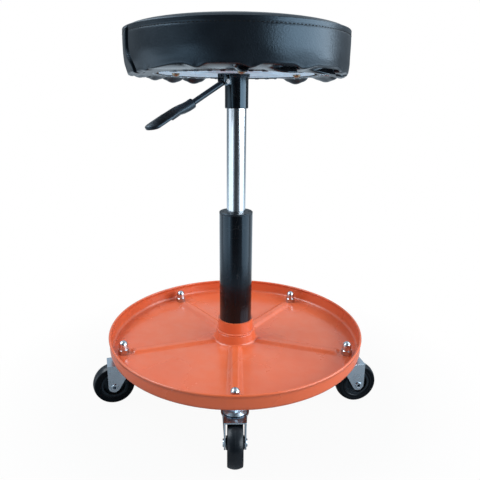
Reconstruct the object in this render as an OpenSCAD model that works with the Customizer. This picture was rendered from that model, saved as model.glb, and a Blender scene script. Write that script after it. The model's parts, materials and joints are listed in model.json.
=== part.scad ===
// Pneumatic roller stool with a round tool tray on five swivel casters.
// Millimetres, +Z up, origin on the floor under the column axis, front towards -Y.

/* [Casters] */
// Wheel diameter
wheel_d = 62; // [50:0.5:80]
// Width of the tyre
wheel_w = 20; // [16:0.5:26]
// Radius of the tyre's rounded shoulders
tyre_shoulder = 4; // [2:0.5:6]
// Diameter of the wheel hub inside the tyre
hub_d = 38; // [32:0.5:44]
// Thickness of the hub's outer band
hub_band_t = 3; // [2:0.5:4]
// Diameter of the boss round the axle
hub_boss_d = 17; // [15:0.5:20]
// Thickness of the hub's web
hub_web_t = 6; // [4:0.5:10]
// Distance from the swivel axis to the axle
caster_trail = 17; // [14:0.5:24]
// Side gap between tyre and fork leg
fork_side_gap = 2; // [1.5:0.25:4]
// Sheet thickness of the fork
fork_t = 2; // [1.5:0.25:3]
// Half width that the fork's leading edges flare out by
fork_flare = 4; // [2:0.5:6]
// Radius of the fork leg's round end
fork_end_r = 8.5; // [7.5:0.5:11]
// Lean of the fork's leading edge from the vertical
fork_lean = 30; // [22:1:36]
// Gap between wheel top and fork crown
crown_gap = 2; // [2:0.25:6]
// Diameter of the fork crown
crown_d = 36; // [34:0.5:42]
// Diameter of the axle rivet
axle_d = 8; // [6:0.5:9]
// Diameter of the axle rivet's rolled heads
axle_head_d = 10.6; // [9.5:0.2:13]
// Height of the axle rivet's rolled heads
axle_head_h = 1.6; // [1.2:0.1:2.4]
// Diameter of the hole through the axle rivet
axle_hole_d = 4.6; // [3:0.2:5]
// Wall of the spacer bush on the axle
bush_wall = 1.5; // [1:0.25:2]
// Diameter of the swivel bearing balls
swivel_ball_d = 3.5; // [3:0.25:4]
// Number of balls in one swivel bearing
swivel_ball_n = 8; // [6:1:10]
// Diameter of the ball circle of one swivel bearing
swivel_ring_d = 20; // [19:0.5:22]
// Sheet thickness of the bearing cap
cap_t = 1.4; // [1:0.1:2]
// Width that the bearing cap's skirt spreads by
cap_skirt = 2.8; // [2:0.2:4]
// Diameter of the caster stem
stem_d = 9.5; // [8:0.5:10]
// Width across flats of the stem's hexagon
stem_hex_af = 22; // [19:0.5:26]
// Height of the stem's hexagon
stem_hex_h = 5.5; // [4:0.5:8]
// Diameter of the rivet head under the fork crown
stem_head_d = 15; // [13:0.5:17]
// Thickness of the rivet head under the fork crown
stem_head_h = 2; // [1.5:0.25:2.5]

/* [Tray] */
// Outer diameter of the rim
tray_d = 394; // [380:1:440]
// Height of the rim above the underside
tray_h = 24.5; // [18:0.5:32]
// Sheet thickness
tray_t = 1.4; // [1:0.1:2]
// Diameter of the rolled bead on the rim
bead_d = 3.6; // [2.8:0.2:5]
// Bend radius between floor and wall
tray_bend = 6; // [4:0.5:8]
// Distance of the caster stems in from the tray's rim
stem_inset = 20.5; // [18:0.5:28]
// Height of the pressed ribs
rib_h = 4; // [3:0.25:6]
// Width of a rib at its foot
rib_w = 22; // [18:0.5:26]
// Width of a rib along its top
rib_top_w = 8; // [6:0.5:10]
// Gap between a rib's outer end and the stem centre
rib_end_gap = 15; // [13:0.5:22]
// Height of the collar drawn up round the hub
collar_h = 16.5; // [12:0.5:20]
// Width that the collar's foot spreads by
collar_spread = 4; // [2.5:0.5:6]
// Width across flats of a cap nut
nut_af = 14.3; // [13:0.1:17]
// Height of a cap nut's hexagon
nut_hex_h = 8; // [6:0.5:10]
// Height of the straight band under a cap nut's dome
nut_band_h = 6; // [4:0.25:8]
// Depth of a cap nut's thread bore
nut_bore_h = 14; // [11:0.5:15]

/* [Column] */
// Outer diameter of the column tube
tube_d = 50; // [48:0.5:52]
// Wall of the column tube
tube_wall = 2; // [1.5:0.25:3]
// Height of the column tube above the tray's underside
tube_rise = 206.2; // [195:0.1:230]
// Depth of the column tube below the tray's underside
tube_drop = 8.5; // [7:0.5:14]
// Thickness of the column tube's floor
tube_floor_t = 4; // [3:0.25:6]
// Reduction of the column tube's radius down its seat taper
tube_taper = 1.4; // [0.8:0.1:1.8]
// Height of the hub above the tray's underside
hub_h = 36.5; // [30:0.5:42]
// Depth of the hub below the tray's underside
hub_drop = 5.5; // [3:0.5:6.5]
// Wall of the hub at its top edge
hub_wall = 2.2; // [1.8:0.1:3]
// Width that the hub's foot spreads by
hub_spread = 1; // [0.5:0.1:1.5]
// Diameter of the weld bead round the hub
weld_d = 2.6; // [2:0.2:3.4]
// Thickness of the guide bushing's flange
bushing_flange_t = 3; // [2:0.25:5]
// Length of the guide bushing inside the tube
bushing_len = 88; // [80:1:100]
// Length of each bearing land in the guide bushing
bushing_land = 20; // [15:1:30]
// Depth of the relief between the bushing's lands
bushing_relief = 1.5; // [1:0.1:2]
// Diameter of the chromed pressure cylinder
cyl_d = 28; // [27:0.25:30]
// Wall of the pressure cylinder
cyl_wall = 1.8; // [1.4:0.1:2.2]
// Length of chromed cylinder that shows at full height
cyl_show = 148.5; // [145:0.5:170]
// Travel of the gas lift
lift_stroke = 125; // [100:1:130]
// Diameter of the piston rod
rod_d = 10; // [8:0.5:11]
// Length of the rod guide in the cylinder's lower end
rod_guide_len = 20; // [14:1:26]
// Thickness of the piston
piston_t = 12; // [8:1:16]
// Reduction of the cylinder's radius along its seat taper
cyl_taper = 0.9; // [0.5:0.1:1.2]
// Length of the cylinder's seat taper
cyl_taper_len = 30; // [24:1:34]
// Height of the cylinder's neck
cyl_neck_h = 3; // [2:0.5:4]
// Thickness of the cylinder's closed end
cyl_roof_t = 6; // [4:0.5:8]
// Thickness of the thrust bearing's washers
thrust_washer_t = 1.5; // [1:0.25:2.5]
// Diameter of the thrust bearing's washers
thrust_washer_d = 32; // [28:0.5:36]
// Diameter of the thrust bearing's balls
thrust_ball_d = 3; // [2.5:0.25:4]
// Number of balls in the thrust bearing
thrust_ball_n = 14; // [8:1:16]
// Height of the rubber bump stop
bumper_h = 8; // [6:0.5:10]
// Diameter of the rubber bump stop
bumper_d = 26; // [22:0.5:30]
// Gap between bump stop and cylinder at the lift's lowest point
bumper_gap = 1; // [0.5:0.25:3]
// Thickness of the rod's retaining clip
clip_t = 1.6; // [1.2:0.1:2]

/* [Seat support] */
// Outer diameter of the seat sleeve
sleeve_d = 33; // [32:0.25:36]
// Length of the seat sleeve
sleeve_len = 45.8; // [42:0.2:56]
// Diameter of the weld ring near the sleeve's top
sleeve_ring_d = 36.4; // [35:0.2:39]
// Height of the weld ring near the sleeve's top
sleeve_ring_h = 2; // [1.5:0.25:3]
// Diameter of the seat plate
plate_d = 214; // [200:1:216]
// Sheet thickness of the seat plate
plate_t = 1.5; // [1.2:0.1:2]
// Depth of the pressed ring in the seat plate
plate_bead_h = 1.6; // [1:0.2:2.4]
// Radius of the pressed ring in the seat plate
plate_bead_r = 60; // [50:1:66]
// Radius of the circle of seat screws
screw_circle_r = 84; // [78:0.5:92]
// Diameter of a seat screw's pan head
screw_head_d = 11; // [9:0.5:13]
// Height of a seat screw's pan head
screw_head_h = 4.2; // [3:0.2:5]
// Diameter of a seat screw's shank
screw_d = 4.8; // [4:0.2:6]
// Length of a seat screw's shank
screw_len = 11; // [8:0.5:12]

/* [Release lever] */
// Direction of the lever round the column
lever_turn = 220; // [200:1:235]
// Distance from the column axis to the lever's pivot
lever_pivot_r = 22; // [21.5:0.25:23]
// Drop of the lever's pivot below the seat plate
lever_pivot_drop = 10; // [9.5:0.25:11]
// Turn that lifts the lever until the valve is open
lever_lift = 8; // [6:0.5:9]
// Slope of the lever rod below the horizontal
lever_slope = 28.3; // [24:0.1:32]
// Diameter of the lever rod
lever_rod_d = 8; // [6:0.25:8.5]
// Diameter of the lever's knuckle round its pivot
lever_knuckle_d = 11; // [10:0.5:12]
// Thickness of the finger that presses the valve
finger_t = 3.4; // [2.8:0.1:3.6]
// Width of the finger that presses the valve
finger_w = 8; // [6:0.25:9]
// Diameter of the lever's pivot pin
lever_pin_d = 4; // [3:0.25:5]
// Outer width of the lever bracket
bracket_w = 14; // [13:0.25:16]
// Sheet thickness of the lever bracket
bracket_t = 1.8; // [1.4:0.1:2.2]
// Height of the lever bracket
bracket_h = 14; // [13.5:0.25:15]
// Reach of the lever bracket from the column axis
bracket_reach = 28; // [27:0.25:32]
// Distance along the rod from the pivot to the paddle
paddle_start = 60; // [50:1:66]
// Length of the paddle
paddle_len = 77; // [70:1:90]
// Diameter of the paddle's collar round the rod
paddle_collar_d = 13.5; // [12:0.25:16]
// Width of the paddle's flat end
paddle_w = 25; // [20:0.5:32]
// Thickness of the paddle's flat end
paddle_t = 6.5; // [5:0.25:8]
// Rise of the paddle's end above the rod's line
paddle_rise = 6; // [3:0.5:8]
// Diameter of the valve's release pin
valve_d = 6; // [5:0.25:7]
// Drop of the valve pin's top below the seat plate
valve_drop = 6; // [5.5:0.25:6.5]

/* [Cushion] */
// Radius of the cushion's top seam
welt_r = 149.5; // [144:0.5:156]
// Height of the cushion's side from hem to seam
side_h = 52; // [46:0.5:60]
// Height of the crown above the seam
crown_h = 15; // [8:0.5:24]
// Outward swell of the side panel
side_swell = 3; // [1:0.25:5]
// Thickness of the cover
cover_t = 2.5; // [2:0.1:3]
// Number of gathers round the underside
gather_n = 14; // [10:1:14]
// Depth that the gathers hang by
gather_h = 6; // [3:0.25:8]
// Gap between the seat plate's rim and the gathered hem
hem_gap = 4.5; // [3:0.5:8]
// Thickness of the gathered hem
hem_t = 2; // [1.5:0.25:3]
// Share by which the gathers are drawn up tight at the front
front_draw = 0.92; // [0:0.01:1]
// Distance from the top seam in to the seat board's edge
board_inset = 13.5; // [11.5:0.5:20]
// Thickness of the seat board
board_t = 12; // [11.5:0.25:15]

/* [Clearances] */
// Radial running clearance of shafts, pins and guides
run_clear = 0.05; // [0.03:0.01:0.08]
// Gap between neighbouring fixed pieces
seat_clear = 0.1; // [0.05:0.01:0.15]
// Gap between pieces that move past each other
move_clear = 0.4; // [0.3:0.05:0.6]

/* [Hidden] */
$fn = 96;
// Places of the casters round the tray, counted from the front
PLACES = ["front", "right", "back_right", "back_left", "left"];
// Turn of each caster about its stem, measured from the outward direction
caster_turns = [1, 29, -18, 14, -2];
front_az = -90;
caster_n = len(PLACES);
// Length that a cutting form runs past the face it cuts
over = 1;
// Small chamfer on turned edges
edge = 0.8;
// Points on the crown and on the side of the cushion, as fractions
crown_stations = [0.4, 0.68, 0.88];
side_stations = [0.06, 0.25, 0.65, 0.9];
gather_steps = 4;
gather_front = 7.3;
// Depth that the side panel is drawn in by at a pinch
pinch = 2.5;

// Caster heights, from the floor up
axle_z = wheel_d / 2;
leg_in = wheel_w / 2 + fork_side_gap;
leg_out = leg_in + fork_t;
crown_z = wheel_d + crown_gap;
crown_top = crown_z + fork_t;
ball_z = crown_top + run_clear + swivel_ball_d / 2;
cap_in_z = ball_z + swivel_ball_d / 2 + run_clear;
cap_top = cap_in_z + cap_t;
tray_z = cap_top + stem_hex_h;
bush_d = axle_d + 2 * run_clear + 2 * bush_wall;
head_reach = leg_out + axle_head_h;

// Tray heights
floor_top = tray_z + tray_t;
floor_mid = tray_z + tray_t / 2;
rim_top = tray_z + tray_h;
stud_top = floor_top + nut_bore_h - move_clear;
bead_r = bead_d / 2;
wall_r = tray_d / 2 - bead_r;
stem_circle_r = tray_d / 2 - stem_inset;
rib_end = stem_circle_r - rib_end_gap;

// Column heights
hub_top = tray_z + hub_h;
hub_bottom = tray_z - hub_drop;
hub_r = tube_d / 2 + seat_clear + hub_wall;
hub_foot_r = hub_r + hub_spread;
collar_top = tray_z + collar_h;
collar_r = hub_foot_r + seat_clear + tray_t / 2;
tube_top = tray_z + tube_rise;
tube_bottom = tray_z - tube_drop;
tube_floor = tube_bottom + tube_floor_t;
tube_in = tube_d / 2 - tube_wall;
washer_low_top = tube_floor + thrust_washer_t;
thrust_ball_z = washer_low_top + run_clear + thrust_ball_d / 2;
washer_up_z = thrust_ball_z + thrust_ball_d / 2 + run_clear;
washer_up_top = washer_up_z + thrust_washer_t;
rod_shoulder_h = 2;
rod_shoulder_w = 2;
clip_groove = 0.8;
piston_gap = 3;
rod_end = 3;
bumper_top = washer_up_top + bumper_h;
mouth_top = tube_top + bushing_flange_t;
cyl_in = cyl_d / 2 - cyl_wall;
cyl_bottom = bumper_top + bumper_gap + lift_stroke;
rod_guide_z = cyl_bottom + edge;
piston_z = rod_guide_z + rod_guide_len + piston_gap;
clip_z = tube_bottom - 2 * seat_clear - clip_t;
rod_bottom = clip_z - rod_end;

// Seat support heights
sleeve_z = mouth_top + cyl_show;
plate_z = sleeve_z + sleeve_len;
valve_top = plate_z - valve_drop;
valve_travel = (lever_pivot_r + valve_d / 2) * lever_lift * PI / 180;
cyl_taper_top = sleeve_z + cyl_taper_len;
cyl_neck_top = cyl_taper_top + cyl_neck_h;
cyl_roof = cyl_taper_top - cyl_roof_t;
plate_mid = plate_z + plate_t / 2;
board_z = plate_z + plate_t;
screw_turn = 4;

// Lever places, in the plane that holds the column axis and the lever
pivot_z = plate_z - lever_pivot_drop;
finger_z = valve_top + move_clear + seat_clear;
bracket_z = plate_z - seat_clear - bracket_h;
bracket_in = bracket_w / 2 - bracket_t;
window_z = pivot_z + lever_pin_d / 2 + edge;

// Cushion heights
board_r = welt_r - board_inset;
board_top = board_z + board_t;
hem_z = board_z - 2 * seat_clear;
ledge_z = board_top - 2 * seat_clear;
side_z = hem_z - hem_t;
welt_z = side_z + side_h;
gather_count = gather_n * gather_steps;
hem_in = plate_d / 2 + hem_gap;
hem_w = welt_r - hem_in;
inner_r = welt_r - cover_t;
crown_in = welt_z + crown_h - cover_t - edge;

// Small geometry helpers

function unit(v) = v / norm(v);
function side_of(v) = [-v.y, v.x];
function heading(path, i) = unit(path[i + 1] - path[i]);
// Offset direction at one point of a path, mitred between its two neighbours
function mitre(path, i) =
    let (last = len(path) - 1,
         a = side_of(heading(path, max(i - 1, 0))),
         b = side_of(heading(path, min(i, last - 1))))
    (a + b) / (1 + a * b);
function moved(path, d) = [for (i = [0 : len(path) - 1]) path[i] + d * mitre(path, i)];
function reversed(list) = [for (i = [len(list) - 1 : -1 : 0]) list[i]];
// Outline of a bent sheet of even thickness whose middle follows a path
function sheet(path, t) = concat(moved(path, t / 2), reversed(moved(path, -t / 2)));
function arc(centre, r, from, to, n = 6) =
    [for (i = [0 : n]) let (a = from + (to - from) * i / n) centre + r * [cos(a), sin(a)]];
function stem_az(i) = front_az + 360 / caster_n * i;

module ring(outer_r, inner_r, h) {
    difference() {
        cylinder(r = outer_r, h = h);
        translate([0, 0, -over]) cylinder(r = inner_r, h = h + 2 * over);
    }
}

module hexagon(af, h) {
    cylinder(d = af / cos(30), h = h, $fn = 6);
}

module at_stems() {
    for (i = [0 : caster_n - 1])
        rotate([0, 0, stem_az(i)]) translate([stem_circle_r, 0, 0]) children();
}

// Frame of one caster: origin on the floor under its stem, +X towards its wheel
module at_caster(i) {
    rotate([0, 0, stem_az(i)]) translate([stem_circle_r, 0, 0]) rotate([0, 0, caster_turns[i]]) children();
}

// Frame of one axle: origin at the wheel's centre, Z along the axle
module at_axle(i) {
    at_caster(i) translate([caster_trail, 0, axle_z]) rotate([-90, 0, 0]) children();
}

// Tray and column

// Solid form of one pressed rib along +X, with sloping flanks and outer end
module rib_form(start) {
    slope = (rib_w - rib_top_w) / 2 / rib_h;
    intersection() {
        rotate([90, 0, 90]) linear_extrude(height = rib_end)
            polygon([[-rib_w / 2 - slope * over, -over], [-rib_top_w / 2, rib_h],
                     [rib_top_w / 2, rib_h], [rib_w / 2 + slope * over, -over]]);
        rotate([90, 0, 0]) translate([0, 0, -rib_w]) linear_extrude(height = 2 * rib_w)
            polygon([[start, -over], [start, rib_h], [rib_end - rib_h * slope, rib_h],
                     [rib_end + slope * over, -over]]);
    }
}

module tray() {
    foot_r = collar_r + collar_spread;
    corner = [wall_r - tray_bend, floor_mid + tray_bend];
    path = concat([[collar_r, collar_top], [foot_r, floor_mid]], arc(corner, tray_bend, -90, 0),
                  [[wall_r, rim_top - bead_r]]);
    color("orangered") difference() {
        union() {
            rotate_extrude() {
                polygon(sheet(path, tray_t));
                translate([wall_r, rim_top - bead_r]) circle(r = bead_r);
            }
            for (i = [0 : caster_n - 1])
                rotate([0, 0, stem_az(i)]) translate([0, 0, floor_top]) intersection() {
                    rib_form(collar_r + tray_t / 2);
                    translate([0, 0, -tray_t / 2]) cylinder(r = tray_d / 2, h = tray_h);
                }
        }
        for (i = [0 : caster_n - 1])
            rotate([0, 0, stem_az(i)]) translate([0, 0, floor_top - tray_t]) rib_form(foot_r + tray_t);
        at_stems() translate([0, 0, tray_z - over])
            cylinder(d = stem_d + 4 * seat_clear, h = tray_t + 2 * over);
    }
}

// Radius of the column tube's seat taper at a height
function taper_r(z) = tube_d / 2 - tube_taper * (hub_top - z) / (hub_top - tube_bottom);

module hub_socket() {
    color("orangered") rotate_extrude() {
        polygon([[taper_r(hub_bottom) + seat_clear, hub_bottom], [hub_foot_r, hub_bottom],
                 [hub_foot_r, collar_top], [hub_r, hub_top], [taper_r(hub_top) + seat_clear, hub_top]]);
        translate([hub_foot_r, collar_top + seat_clear + weld_d / 2]) circle(d = weld_d);
    }
}

module column_tube() {
    step_r = taper_r(tube_bottom) - tube_wall;
    step_h = 5;
    hole_r = rod_d / 2 + 3 * seat_clear;
    color("dimgray") rotate_extrude()
        polygon([[hole_r, tube_bottom], [taper_r(tube_bottom), tube_bottom], [tube_d / 2, hub_top],
                 [tube_d / 2, tube_top], [tube_in, tube_top], [tube_in, hub_top],
                 [step_r, hub_top - step_h], [step_r, tube_floor], [hole_r, tube_floor]]);
}

// Bushing with two bearing lands and a notched flange that caps the tube
module guide_bushing() {
    land_r = cyl_d / 2 + run_clear;
    relief_r = land_r + bushing_relief;
    bottom = tube_top - bushing_len;
    out_r = tube_in - seat_clear;
    notch = [4, 2.4, edge + over];
    notch_r = tube_d / 2 - 7;
    color("black") difference() {
        rotate_extrude()
            polygon([[land_r, bottom], [out_r, bottom], [out_r, tube_top], [tube_d / 2, tube_top],
                     [tube_d / 2, mouth_top - edge], [tube_d / 2 - edge, mouth_top], [land_r, mouth_top],
                     [land_r, mouth_top - bushing_land], [relief_r, mouth_top - bushing_land - edge],
                     [relief_r, bottom + bushing_land + edge], [land_r, bottom + bushing_land]]);
        for (a = [0 : 60 : 300])
            rotate([0, 0, a]) translate([notch_r, -notch.y / 2, mouth_top - edge]) cube(notch);
    }
}

module thrust_washer_lower() {
    color("silver") translate([0, 0, tube_floor])
        ring(thrust_washer_d / 2, rod_d / 2 + 3 * seat_clear, thrust_washer_t);
}

module thrust_washer_upper() {
    color("silver") translate([0, 0, washer_up_z])
        ring(thrust_washer_d / 2, rod_d / 2 + seat_clear, thrust_washer_t);
}

module thrust_balls() {
    ring_r = (thrust_washer_d / 2 + rod_d / 2) / 2;
    color("gainsboro") for (k = [0 : thrust_ball_n - 1])
        rotate([0, 0, 360 / thrust_ball_n * k]) translate([ring_r, 0, thrust_ball_z])
            sphere(d = thrust_ball_d, $fn = 24);
}

// Rod with a shoulder on the thrust bearing, a clip groove below and a piston seat above
module piston_rod() {
    r = rod_d / 2;
    groove = [clip_z - seat_clear, clip_z + clip_t + seat_clear];
    shoulder = [washer_up_top, washer_up_top + rod_shoulder_h];
    top = piston_z + piston_t + rod_end;
    color("silver") rotate_extrude()
        polygon([[0, rod_bottom], [r - edge, rod_bottom], [r, rod_bottom + edge], [r, groove[0]],
                 [r - clip_groove, groove[0]], [r - clip_groove, groove[1]], [r, groove[1]],
                 [r, shoulder[0]], [r + rod_shoulder_w, shoulder[0]], [r + rod_shoulder_w, shoulder[1]],
                 [r, shoulder[1]], [r, piston_z], [r - edge, piston_z], [r - edge, top], [0, top]]);
}

module rod_clip() {
    gap_w = rod_d * 0.6;
    clip_w = 3.5;
    color("dimgray") translate([0, 0, clip_z]) difference() {
        ring(rod_d / 2 + clip_w, rod_d / 2 - clip_groove + run_clear, clip_t);
        translate([0, -gap_w / 2, -over]) cube([rod_d, gap_w, clip_t + 2 * over]);
    }
}

module bump_stop() {
    lip_h = rod_shoulder_h + seat_clear;
    r = rod_d / 2 + seat_clear;
    step_r = r + rod_shoulder_w;
    taper = 2;
    color("black") rotate_extrude()
        polygon([[step_r, washer_up_top], [bumper_d / 2, washer_up_top],
                 [bumper_d / 2 - taper, bumper_top], [r, bumper_top], [r, washer_up_top + lip_h],
                 [step_r, washer_up_top + lip_h]]);
}

module piston() {
    r = cyl_in - run_clear;
    bore = rod_d / 2 - edge + run_clear;
    groove = 1.5;
    color("dimgray") translate([0, 0, piston_z]) rotate_extrude()
        polygon([[bore, 0], [r, 0], [r, piston_t / 3], [r - groove, piston_t / 3],
                 [r - groove, piston_t * 2 / 3], [r, piston_t * 2 / 3], [r, piston_t],
                 [bore, piston_t]]);
}

// Chromed cylinder, open below, tapered into the seat sleeve, with a neck for the valve pin
module gas_cylinder() {
    r = cyl_d / 2;
    top_r = r - cyl_taper;
    pin_r = valve_d / 2 + run_clear;
    neck_wall = 2.5;
    neck_r = pin_r + neck_wall;
    color("gainsboro") rotate_extrude()
        polygon([[cyl_in, cyl_bottom], [r - edge, cyl_bottom], [r, cyl_bottom + edge], [r, sleeve_z],
                 [top_r, cyl_taper_top], [neck_r, cyl_taper_top], [neck_r, cyl_neck_top],
                 [pin_r, cyl_neck_top], [pin_r, cyl_roof], [cyl_in, cyl_roof]]);
}

module rod_guide() {
    color("dimgray") translate([0, 0, rod_guide_z])
        ring(cyl_in - seat_clear, rod_d / 2 + run_clear, rod_guide_len);
}

// Release pin with a foot that keeps it in the cylinder
module valve_pin() {
    r = valve_d / 2;
    foot_w = 1.5;
    foot_h = 5;
    foot_top = cyl_roof - move_clear;
    color("silver") rotate_extrude()
        polygon([[0, foot_top - foot_h], [r + foot_w, foot_top - foot_h], [r + foot_w, foot_top],
                 [r, foot_top], [r, valve_top - edge], [r - edge, valve_top], [0, valve_top]]);
}

// Seat support

// Frame of the lever's plane: +X outward along the lever, Y across it
module at_lever() {
    rotate([0, 0, lever_turn]) children();
}

module seat_sleeve() {
    r = sleeve_d / 2;
    bore = cyl_d / 2 + seat_clear;
    slot_w = finger_w + 2 * move_clear;
    slot_z = finger_z - valve_travel - 2 * move_clear;
    slot_roof = 1;
    ring_r = sleeve_ring_d / 2;
    ring_z = plate_z - 2 * sleeve_ring_h;
    color("dimgray") difference() {
        rotate_extrude()
            polygon([[bore, sleeve_z], [r - edge, sleeve_z], [r, sleeve_z + edge], [r, ring_z],
                     [ring_r, ring_z], [ring_r, ring_z + sleeve_ring_h], [r, ring_z + sleeve_ring_h],
                     [r, plate_z], [bore - cyl_taper, plate_z], [bore - cyl_taper, cyl_taper_top]]);
        at_lever() translate([0, -slot_w / 2, slot_z])
            cube([sleeve_d, slot_w, plate_z - slot_z - slot_roof]);
    }
}

// Folded bracket: two cheeks and an end wall that is notched for the lever rod
module lever_bracket() {
    inside = bracket_reach - bracket_t;
    top = bracket_z + bracket_h;
    corner = 4;
    notch_w = 2 * bracket_in;
    knuckle_top = sqrt(max(0, pow(lever_knuckle_d / 2, 2) - pow(inside - lever_pivot_r, 2)));
    rod_fall = (inside - lever_pivot_r) * tan(lever_slope - lever_lift);
    rod_top = lever_rod_d / 2 / cos(lever_slope) - rod_fall;
    notch_top = pivot_z + max(knuckle_top, rod_top) + 2 * move_clear;
    window_w = 6;
    window_roof = 1.4;
    rivet_d = min(3.6, top - notch_top - 2 * edge);
    rivet_h = 1.1;
    color("dimgray") at_lever() difference() {
        union() {
            rotate([90, 0, 0]) translate([0, 0, -bracket_w / 2]) linear_extrude(height = bracket_w)
                polygon([[0, bracket_z], [bracket_reach - corner, bracket_z],
                         [bracket_reach, bracket_z + corner], [bracket_reach, top], [0, top]]);
            translate([inside, 0, (notch_top + top) / 2]) rotate([0, 90, 0])
                cylinder(d = rivet_d, h = bracket_t + rivet_h);
        }
        translate([-over, -bracket_in, bracket_z - over])
            cube([inside + over, 2 * bracket_in, bracket_h + 2 * over]);
        translate([inside - over, -notch_w / 2, bracket_z - over])
            cube([bracket_t + 2 * over, notch_w, notch_top - bracket_z + over]);
        translate([0, 0, bracket_z - over])
            cylinder(d = sleeve_d + 2 * seat_clear, h = bracket_h + 2 * over);
        translate([0, 0, plate_z - 2 * sleeve_ring_h - seat_clear])
            cylinder(d = sleeve_ring_d + 2 * seat_clear, h = sleeve_ring_h + 2 * seat_clear);
        translate([sleeve_ring_d / 2 + edge, -bracket_w, window_z])
            cube([window_w, 2 * bracket_w, top - window_z - window_roof]);
        translate([lever_pivot_r, 0, pivot_z]) rotate([90, 0, 0])
            cylinder(d = lever_pin_d + 2 * run_clear, h = 2 * bracket_w, center = true);
    }
}

module lever_pin() {
    head_h = 1.2;
    head_d = lever_pin_d + 2 * head_h;
    color("silver") at_lever() translate([lever_pivot_r, 0, pivot_z]) rotate([90, 0, 0]) {
        cylinder(d = lever_pin_d, h = bracket_w + 2 * seat_clear, center = true);
        for (s = [-1, 1])
            translate([0, 0, s * (bracket_w / 2 + seat_clear + head_h / 2)])
                cylinder(d = head_d, h = head_h, center = true);
    }
}

module lever_rod() {
    knuckle_w = 2 * (bracket_in - move_clear);
    tip_x = -valve_d / 2 - edge;
    color("dimgray") at_lever() difference() {
        union() {
            translate([lever_pivot_r, 0, pivot_z]) {
                rotate([90, 0, 0]) cylinder(d = lever_knuckle_d, h = knuckle_w, center = true);
                rotate([0, 90 + lever_slope, 0])
                    cylinder(d = lever_rod_d, h = paddle_start + paddle_len / 2);
            }
            translate([tip_x, -finger_w / 2, finger_z])
                cube([lever_pivot_r - tip_x, finger_w, finger_t]);
        }
        translate([lever_pivot_r, 0, pivot_z]) rotate([90, 0, 0])
            cylinder(d = lever_pin_d + 2 * run_clear, h = 2 * bracket_w, center = true);
    }
}

// Moulded paddle: a round collar on the rod that flattens into a broad blade
module lever_paddle() {
    blade_end = paddle_start + paddle_len - paddle_w / 2;
    round = 1.2;
    bore_len = paddle_start + paddle_len / 2 + move_clear;
    color("black") at_lever() translate([lever_pivot_r, 0, pivot_z]) rotate([0, lever_slope, 0])
        difference() {
            hull() {
                translate([paddle_start, 0, 0]) rotate([0, 90, 0])
                    cylinder(d = paddle_collar_d, h = paddle_len / 4, $fn = 32);
                translate([blade_end, 0, paddle_rise - paddle_t / 2]) {
                    translate([0, 0, round]) cylinder(d = paddle_w, h = paddle_t - 2 * round, $fn = 32);
                    cylinder(d = paddle_w - 2 * round, h = paddle_t, $fn = 32);
                }
            }
            rotate([0, 90, 0]) cylinder(d = lever_rod_d + 2 * seat_clear, h = bore_len);
        }
}

module at_screws() {
    for (a = [0 : 90 : 270])
        rotate([0, 0, a + screw_turn]) translate([screw_circle_r, 0, 0]) children();
}

module seat_plate() {
    low = plate_mid - plate_bead_h;
    flat = 2.5;
    foot = 5;
    path = [[0, plate_mid], [plate_bead_r - foot, plate_mid], [plate_bead_r - flat, low],
            [plate_bead_r + flat, low], [plate_bead_r + foot, plate_mid], [plate_d / 2, plate_mid]];
    color("lightsteelblue") difference() {
        rotate_extrude() polygon(sheet(path, plate_t));
        at_screws() translate([0, 0, plate_z - over])
            cylinder(d = screw_d + 4 * seat_clear, h = plate_t + 2 * over);
    }
}

module seat_screws() {
    r = screw_head_d / 2;
    color("peru") at_screws() translate([0, 0, plate_z]) rotate_extrude()
        polygon(concat([[0, screw_len], [screw_d / 2 - edge, screw_len], [screw_d / 2, screw_len - edge],
                        [screw_d / 2, 0], [r, 0]],
                       [for (a = [15 : 15 : 90]) [r * cos(a), -screw_head_h * sin(a)]]));
}

module seat_board() {
    color("burlywood") difference() {
        translate([0, 0, board_z]) cylinder(r = board_r, h = board_t);
        at_screws() translate([0, 0, board_z - over])
            cylinder(d = screw_d + 2 * seat_clear, h = screw_len - plate_t + over + seat_clear);
    }
}

// Cushion

// Height of a crown of a given rise above the seam, at a fraction of its radius
function crown_z_at(rise, s) = welt_z + rise * sqrt(1 - s * s);
// Outward swell of the side panel at a fraction of the way down it
function swell_at(s) = side_swell * sqrt(max(0, 1 - pow((s - 0.3) / 0.7, 2)));
// Profile of the cover's inside from the board's edge up to the crown, which the foam follows
inner_profile = concat(
    [[inner_r - cover_t, ledge_z], [inner_r + side_swell / 2, board_top + side_h / 3],
     [inner_r - edge, welt_z - cover_t]],
    [for (i = [len(crown_stations) - 1 : -1 : 0]) let (s = crown_stations[i])
        [inner_r * s, crown_z_at(crown_h, s) - cover_t - edge]]);
// How far a gather hangs at a turn from the front: pinched (0) to full (1), drawn up at the front
function gather_at(a) = pow(abs(sin((a - gather_front) * gather_n / 2)), 0.8);
function hang_at(a) = gather_h * gather_at(a) * (1 - front_draw * pow(max(0, cos(a)), 2));

// Closed profile of the cover at one turn, from the crown over the side and hem to the inside
function cover_profile(a) =
    let (slack = 1 - gather_at(a), hang = hang_at(a))
    concat(
        [for (s = crown_stations) [welt_r * s, crown_z_at(crown_h, s)]],
        [[welt_r - cover_t, welt_z + edge], [welt_r + edge / 2, welt_z + 1.5 * edge]],
        [for (s = side_stations) [welt_r + swell_at(s) - pinch * s * s * slack, welt_z - s * side_h]],
        [[welt_r - 2 * pinch - pinch * slack, side_z - hang * 0.7],
         [welt_r - hem_w * 0.45, side_z - hang],
         [welt_r - hem_w * 0.75, side_z - hang * 0.8],
         [hem_in, side_z],
         [hem_in, hem_z], [board_r + 3 * seat_clear, hem_z], [board_r + 3 * seat_clear, ledge_z]],
        inner_profile);

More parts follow.
